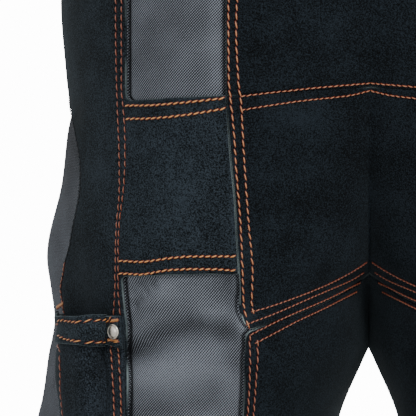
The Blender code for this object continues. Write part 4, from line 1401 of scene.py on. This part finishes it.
def make_rivet():
    """The cap pressed over the rivet: a rolled rim, a ring pressed in beside it, and a low dome."""
    x, z = RIVET_PLACE
    flat = seen_on_pocket(((x, z), (x, z - 1.0)), BAND_FACE_LIFT)[0]
    share = looked_up(flat[0], flat[1], POCKET_GIRTH, POCKET_TABLE)
    point, normal = pocket_surface(share, np.float64(z))
    foot = point + normal * (BAND_FACE_LIFT + RIVET_WALL / 2 - RIVET_SUNK)
    bpy.ops.object.select_all(action="DESELECT")
    bpy.ops.mesh.primitive_cylinder_add(vertices=40, radius=RIVET_RADIUS * MM, depth=RIVET_WALL * MM)
    cap = bpy.context.object
    cap.name = "rivet_cap"
    bpy.context.tool_settings.mesh_select_mode = (False, False, True)
    for face in cap.data.polygons:
        face.select = face.normal.z > 0.9
    bpy.ops.object.mode_set(mode="EDIT")
    for inward, upward in RIVET_DOME:
        bpy.ops.mesh.inset(thickness=inward * MM, depth=upward * MM)
    bpy.ops.mesh.poke()
    bpy.ops.object.mode_set(mode="OBJECT")
    cap.location = foot * MM
    cap.rotation_euler = Vector(normal).to_track_quat("Z", "Y").to_euler()
    bpy.ops.object.transform_apply(location=True, rotation=True, scale=True)
    bpy.ops.object.shade_smooth_by_angle(angle=math.radians(50))
    dress(cap, NICKEL, "nickel", "pocket_rivet")


# ---------------------------------------------------------------- webbing

BELT_WIDTH, BELT_BACK = 38, (3.5, 98)  # the belt's buckle lies here, seen from above
BELT_TUCK = 46.0  # how far the belt's sewn end reaches in under the twill
STRAP_BACK = (-110, 94)
STRAP_TUCK = 30.0
TUCK_END, TUCK_POINTS = 1.2, 14  # how far inside the twill's edge the webbing leaves it
SOCKET_BAR, PLUG_BAR = -28.5, 21.5  # where a buckle's bars lie along the webbing
BAR_CORNER = 1.95  # the reach of a bar's corners from its middle
HAIRPIN_RADIUS = BAR_CORNER + GAP + WEBBING  # of the webbing's outer face round the bar
HAIRPIN_TURNS = np.arange(75, -91, -15)
RUN_PULL = 1.15  # how far a run's curve keeps to the directions of its two ends
RUN_CELLS, TURN_CELLS = 48, 12
TURN_START, WEBBING_TURN = 9.5, 32  # where the webbing's turned-back end meets its run, and where it ends
WEBBING_CELLS = 10


def curve_between(a, a_way, b, b_way):
    """Points of a smooth curve from a to b that leaves and arrives in the given directions."""
    reach = np.linalg.norm(b - a) * RUN_PULL
    a_way, b_way = a_way / np.linalg.norm(a_way) * reach, b_way / np.linalg.norm(b_way) * reach
    t = np.linspace(0, 1, RUN_CELLS + 1)[:, None]
    return (
        a * (2 * t**3 - 3 * t**2 + 1)
        + a_way * (t**3 - 2 * t**2 + t)
        + b * (3 * t**2 - 2 * t**3)
        + b_way * (t**3 - t**2)
    )


def hairpin(bar, way, z):
    """The webbing's outer face from the bar's near side round to the wearer's side. The wearer is at -Y, and
    way is +1 or -1 along X."""
    turns = np.radians(HAIRPIN_TURNS)
    x = bar[0] + way * HAIRPIN_RADIUS * np.cos(turns)
    y = bar[1] + HAIRPIN_RADIUS * np.sin(turns)
    return np.stack([x, y, np.full(len(turns), z)], axis=-1)


def left_of(points, way):
    """Level unit vectors to the left of a line of points, or to its right where way is -1."""
    along = np.gradient(points, axis=0)
    along[:, 2] = 0
    along /= np.linalg.norm(along, axis=-1, keepdims=True)
    return np.stack([-along[:, 1], along[:, 0], np.zeros(len(along))], axis=-1) * way


def turned_back(run, way):
    """The end of the webbing, sewn down along the wearer's side of the run it comes from."""
    beside_run = (run - left_of(run, way) * (2 * WEBBING + GAP))[::-1]
    along = way_along(beside_run)
    at = np.linspace(TURN_START, WEBBING_TURN, TURN_CELLS + 1)
    return np.stack([np.interp(at, along, beside_run[:, k]) for k in range(3)], axis=-1)


def under_leg(line_name, reach, z):
    """A level line just inside the twill, from its edge inwards; it is given from its far end."""
    edge = line_girth(line_name, np.float64(z))
    sign = 1 if line_name == "edge" else -1
    girth = edge + sign * np.linspace(reach, TUCK_END, TUCK_POINTS)
    points, normals = leg_surface(girth, np.full(TUCK_POINTS, float(z)))
    return points - normals * (TWILL + GAP)


def webbing_run(name, line_name, reach, mirror, bar, way, low, high):
    """Webbing from its sewn end under the twill, round to a buckle's bar and back on itself."""
    rows = []
    turned = np.array([-1 if mirror else 1, 1, 1])
    heights = np.linspace(high, low, WEBBING_CELLS + 1)
    for z in heights:
        line = under_leg(line_name, reach, z) * turned
        leave = (line[-1] - line[-2]) * (1, 1, 0)
        over_bar = np.array([bar[0], bar[1] + HAIRPIN_RADIUS, z])
        run = curve_between(line[-1], leave, over_bar, np.array([way, 0.0, 0.0]))
        rows.append(np.concatenate([line, run[1:], hairpin(bar, way, z), turned_back(run, way)]))
    points = np.array(rows)
    normals = np.array([left_of(row, way) for row in rows])
    along = way_along(points[WEBBING_CELLS // 2])
    flat = np.stack(np.broadcast_arrays(along[None, :], heights[:, None]), axis=-1)
    if way > 0:
        points, normals, flat = points[:, ::-1], normals[:, ::-1], (flat * (-1, 1))[:, ::-1]
    present = np.ones((points.shape[0] - 1, points.shape[1] - 1), bool)
    cloth = {"flat": flat, "points": points, "normals": normals, "present": present}
    obj = shell(f"webbing_{name}", cloth, -WEBBING, 0, (), **WEBBING_FORM)
    dress(obj, WEAVE, "webbing", name)


def make_webbing():
    x, y = BELT_BACK
    half = BELT_WIDTH / 2
    webbing_run("belt_right", "edge", BELT_TUCK, False, (x + SOCKET_BAR, y), 1, -half, half)
    webbing_run("belt_left", "edge", BELT_TUCK, True, (x + PLUG_BAR, y), -1, -half, half)
    x, y = STRAP_BACK
    for side, way in (("right", 1), ("left", -1)):
        bars = ((x * way + SOCKET_BAR, y), (x * way + PLUG_BAR, y))
        outer_bar, inner_bar = bars if way > 0 else bars[::-1]
        for part, line, bar, turn in (("outer", "edge", outer_bar, way), ("inner", "inner", inner_bar, -way)):
            name = f"strap_{part}_{side}"
            low, high = (corner.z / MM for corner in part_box(name))
            webbing_run(name, line, STRAP_TUCK, way < 0, bar, turn, low, high)
    for name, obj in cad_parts.items():
        if name.endswith(("socket", "plug")):
            for slot in obj.material_slots:
                slot.material = PLASTIC


# ---------------------------------------------------------------- the studio


def make_camera():
    data = bpy.data.cameras.new("view")
    data.sensor_width = SENSOR
    data.lens = SENSOR * VIEW_DISTANCE / (PICTURE_PX / PX_PER_MM)
    camera = bpy.data.objects.new("view", data)
    camera.location = np.array((VIEW_X, VIEW_Y - VIEW_DISTANCE, VIEW_Z)) * MM
    camera.rotation_euler = (math.pi / 2, 0, 0)
    bpy.context.scene.collection.objects.link(camera)
    bpy.context.scene.camera = camera


def make_light(name, place, size, power):
    data = bpy.data.lights.new(name, "AREA")
    data.shape, data.size, data.energy = "DISK", size, power
    lamp = bpy.data.objects.new(name, data)
    lamp.location = place
    aim = Vector(LIGHT_AIM) - Vector(place)
    lamp.rotation_euler = aim.to_track_quat("-Z", "Y").to_euler()
    bpy.context.scene.collection.objects.link(lamp)


LIGHTS = (
    # name, place in metres, its disk's size in metres, watts
    ("key", (0.7, -1.8, 1.5), 0.9, 46.0),
    ("fill", (-1.0, -2.3, 0.2), 1.4, 8.0),
    ("back", (0.6, 2.0, 0.8), 1.6, 18.0),
)
LIGHT_AIM = (-0.09, -0.05, -0.3)

# The world's light on the apron, in what gleams, and as the camera sees it.
AMBIENT, SOFTBOX, PAPER_WHITE = 0.45, 1.1, 14.0


def make_studio():
    world = bpy.data.worlds.new("studio")
    world.use_nodes = True
    tree = world.node_tree
    tree.nodes.clear()
    to_camera = node(tree, "LightPath", output="Is Camera Ray")
    mirrored = node(tree, "LightPath", output="Is Glossy Ray")
    softbox = node(tree, "MapRange", {"Value": mirrored, "To Min": AMBIENT, "To Max": SOFTBOX})
    strength = node(tree, "MapRange", {"Value": to_camera, "To Min": softbox, "To Max": PAPER_WHITE})
    light = node(tree, "Background", {"Color": (1, 1, 1, 1), "Strength": strength})
    node(tree, "OutputWorld", {"Surface": light})
    bpy.context.scene.world = world
    for light in LIGHTS:
        make_light(*light)
    bpy.ops.object.select_all(action="DESELECT")
    bpy.ops.mesh.primitive_circle_add(vertices=96, radius=FLOOR_RADIUS * MM, fill_type="NGON",
                                      location=(0, 0, FLOOR_Z * MM))
    floor = bpy.context.object
    floor.name = "floor"
    bpy.ops.object.transform_apply(location=True, rotation=True, scale=True)
    floor.data.materials.append(floor_material())


make_camera()
make_studio()
for side, left in (("right", False), ("left", True)):
    make_base(side, left)
    make_side(side, left)
    make_lower(side)
make_lap()
make_pocket()
make_rivet()
make_webbing()
for name, rows in STITCHES.items():
    stitched(f"stitches_{name}", rows, DARK_THREAD if name == "dark" else THREAD)
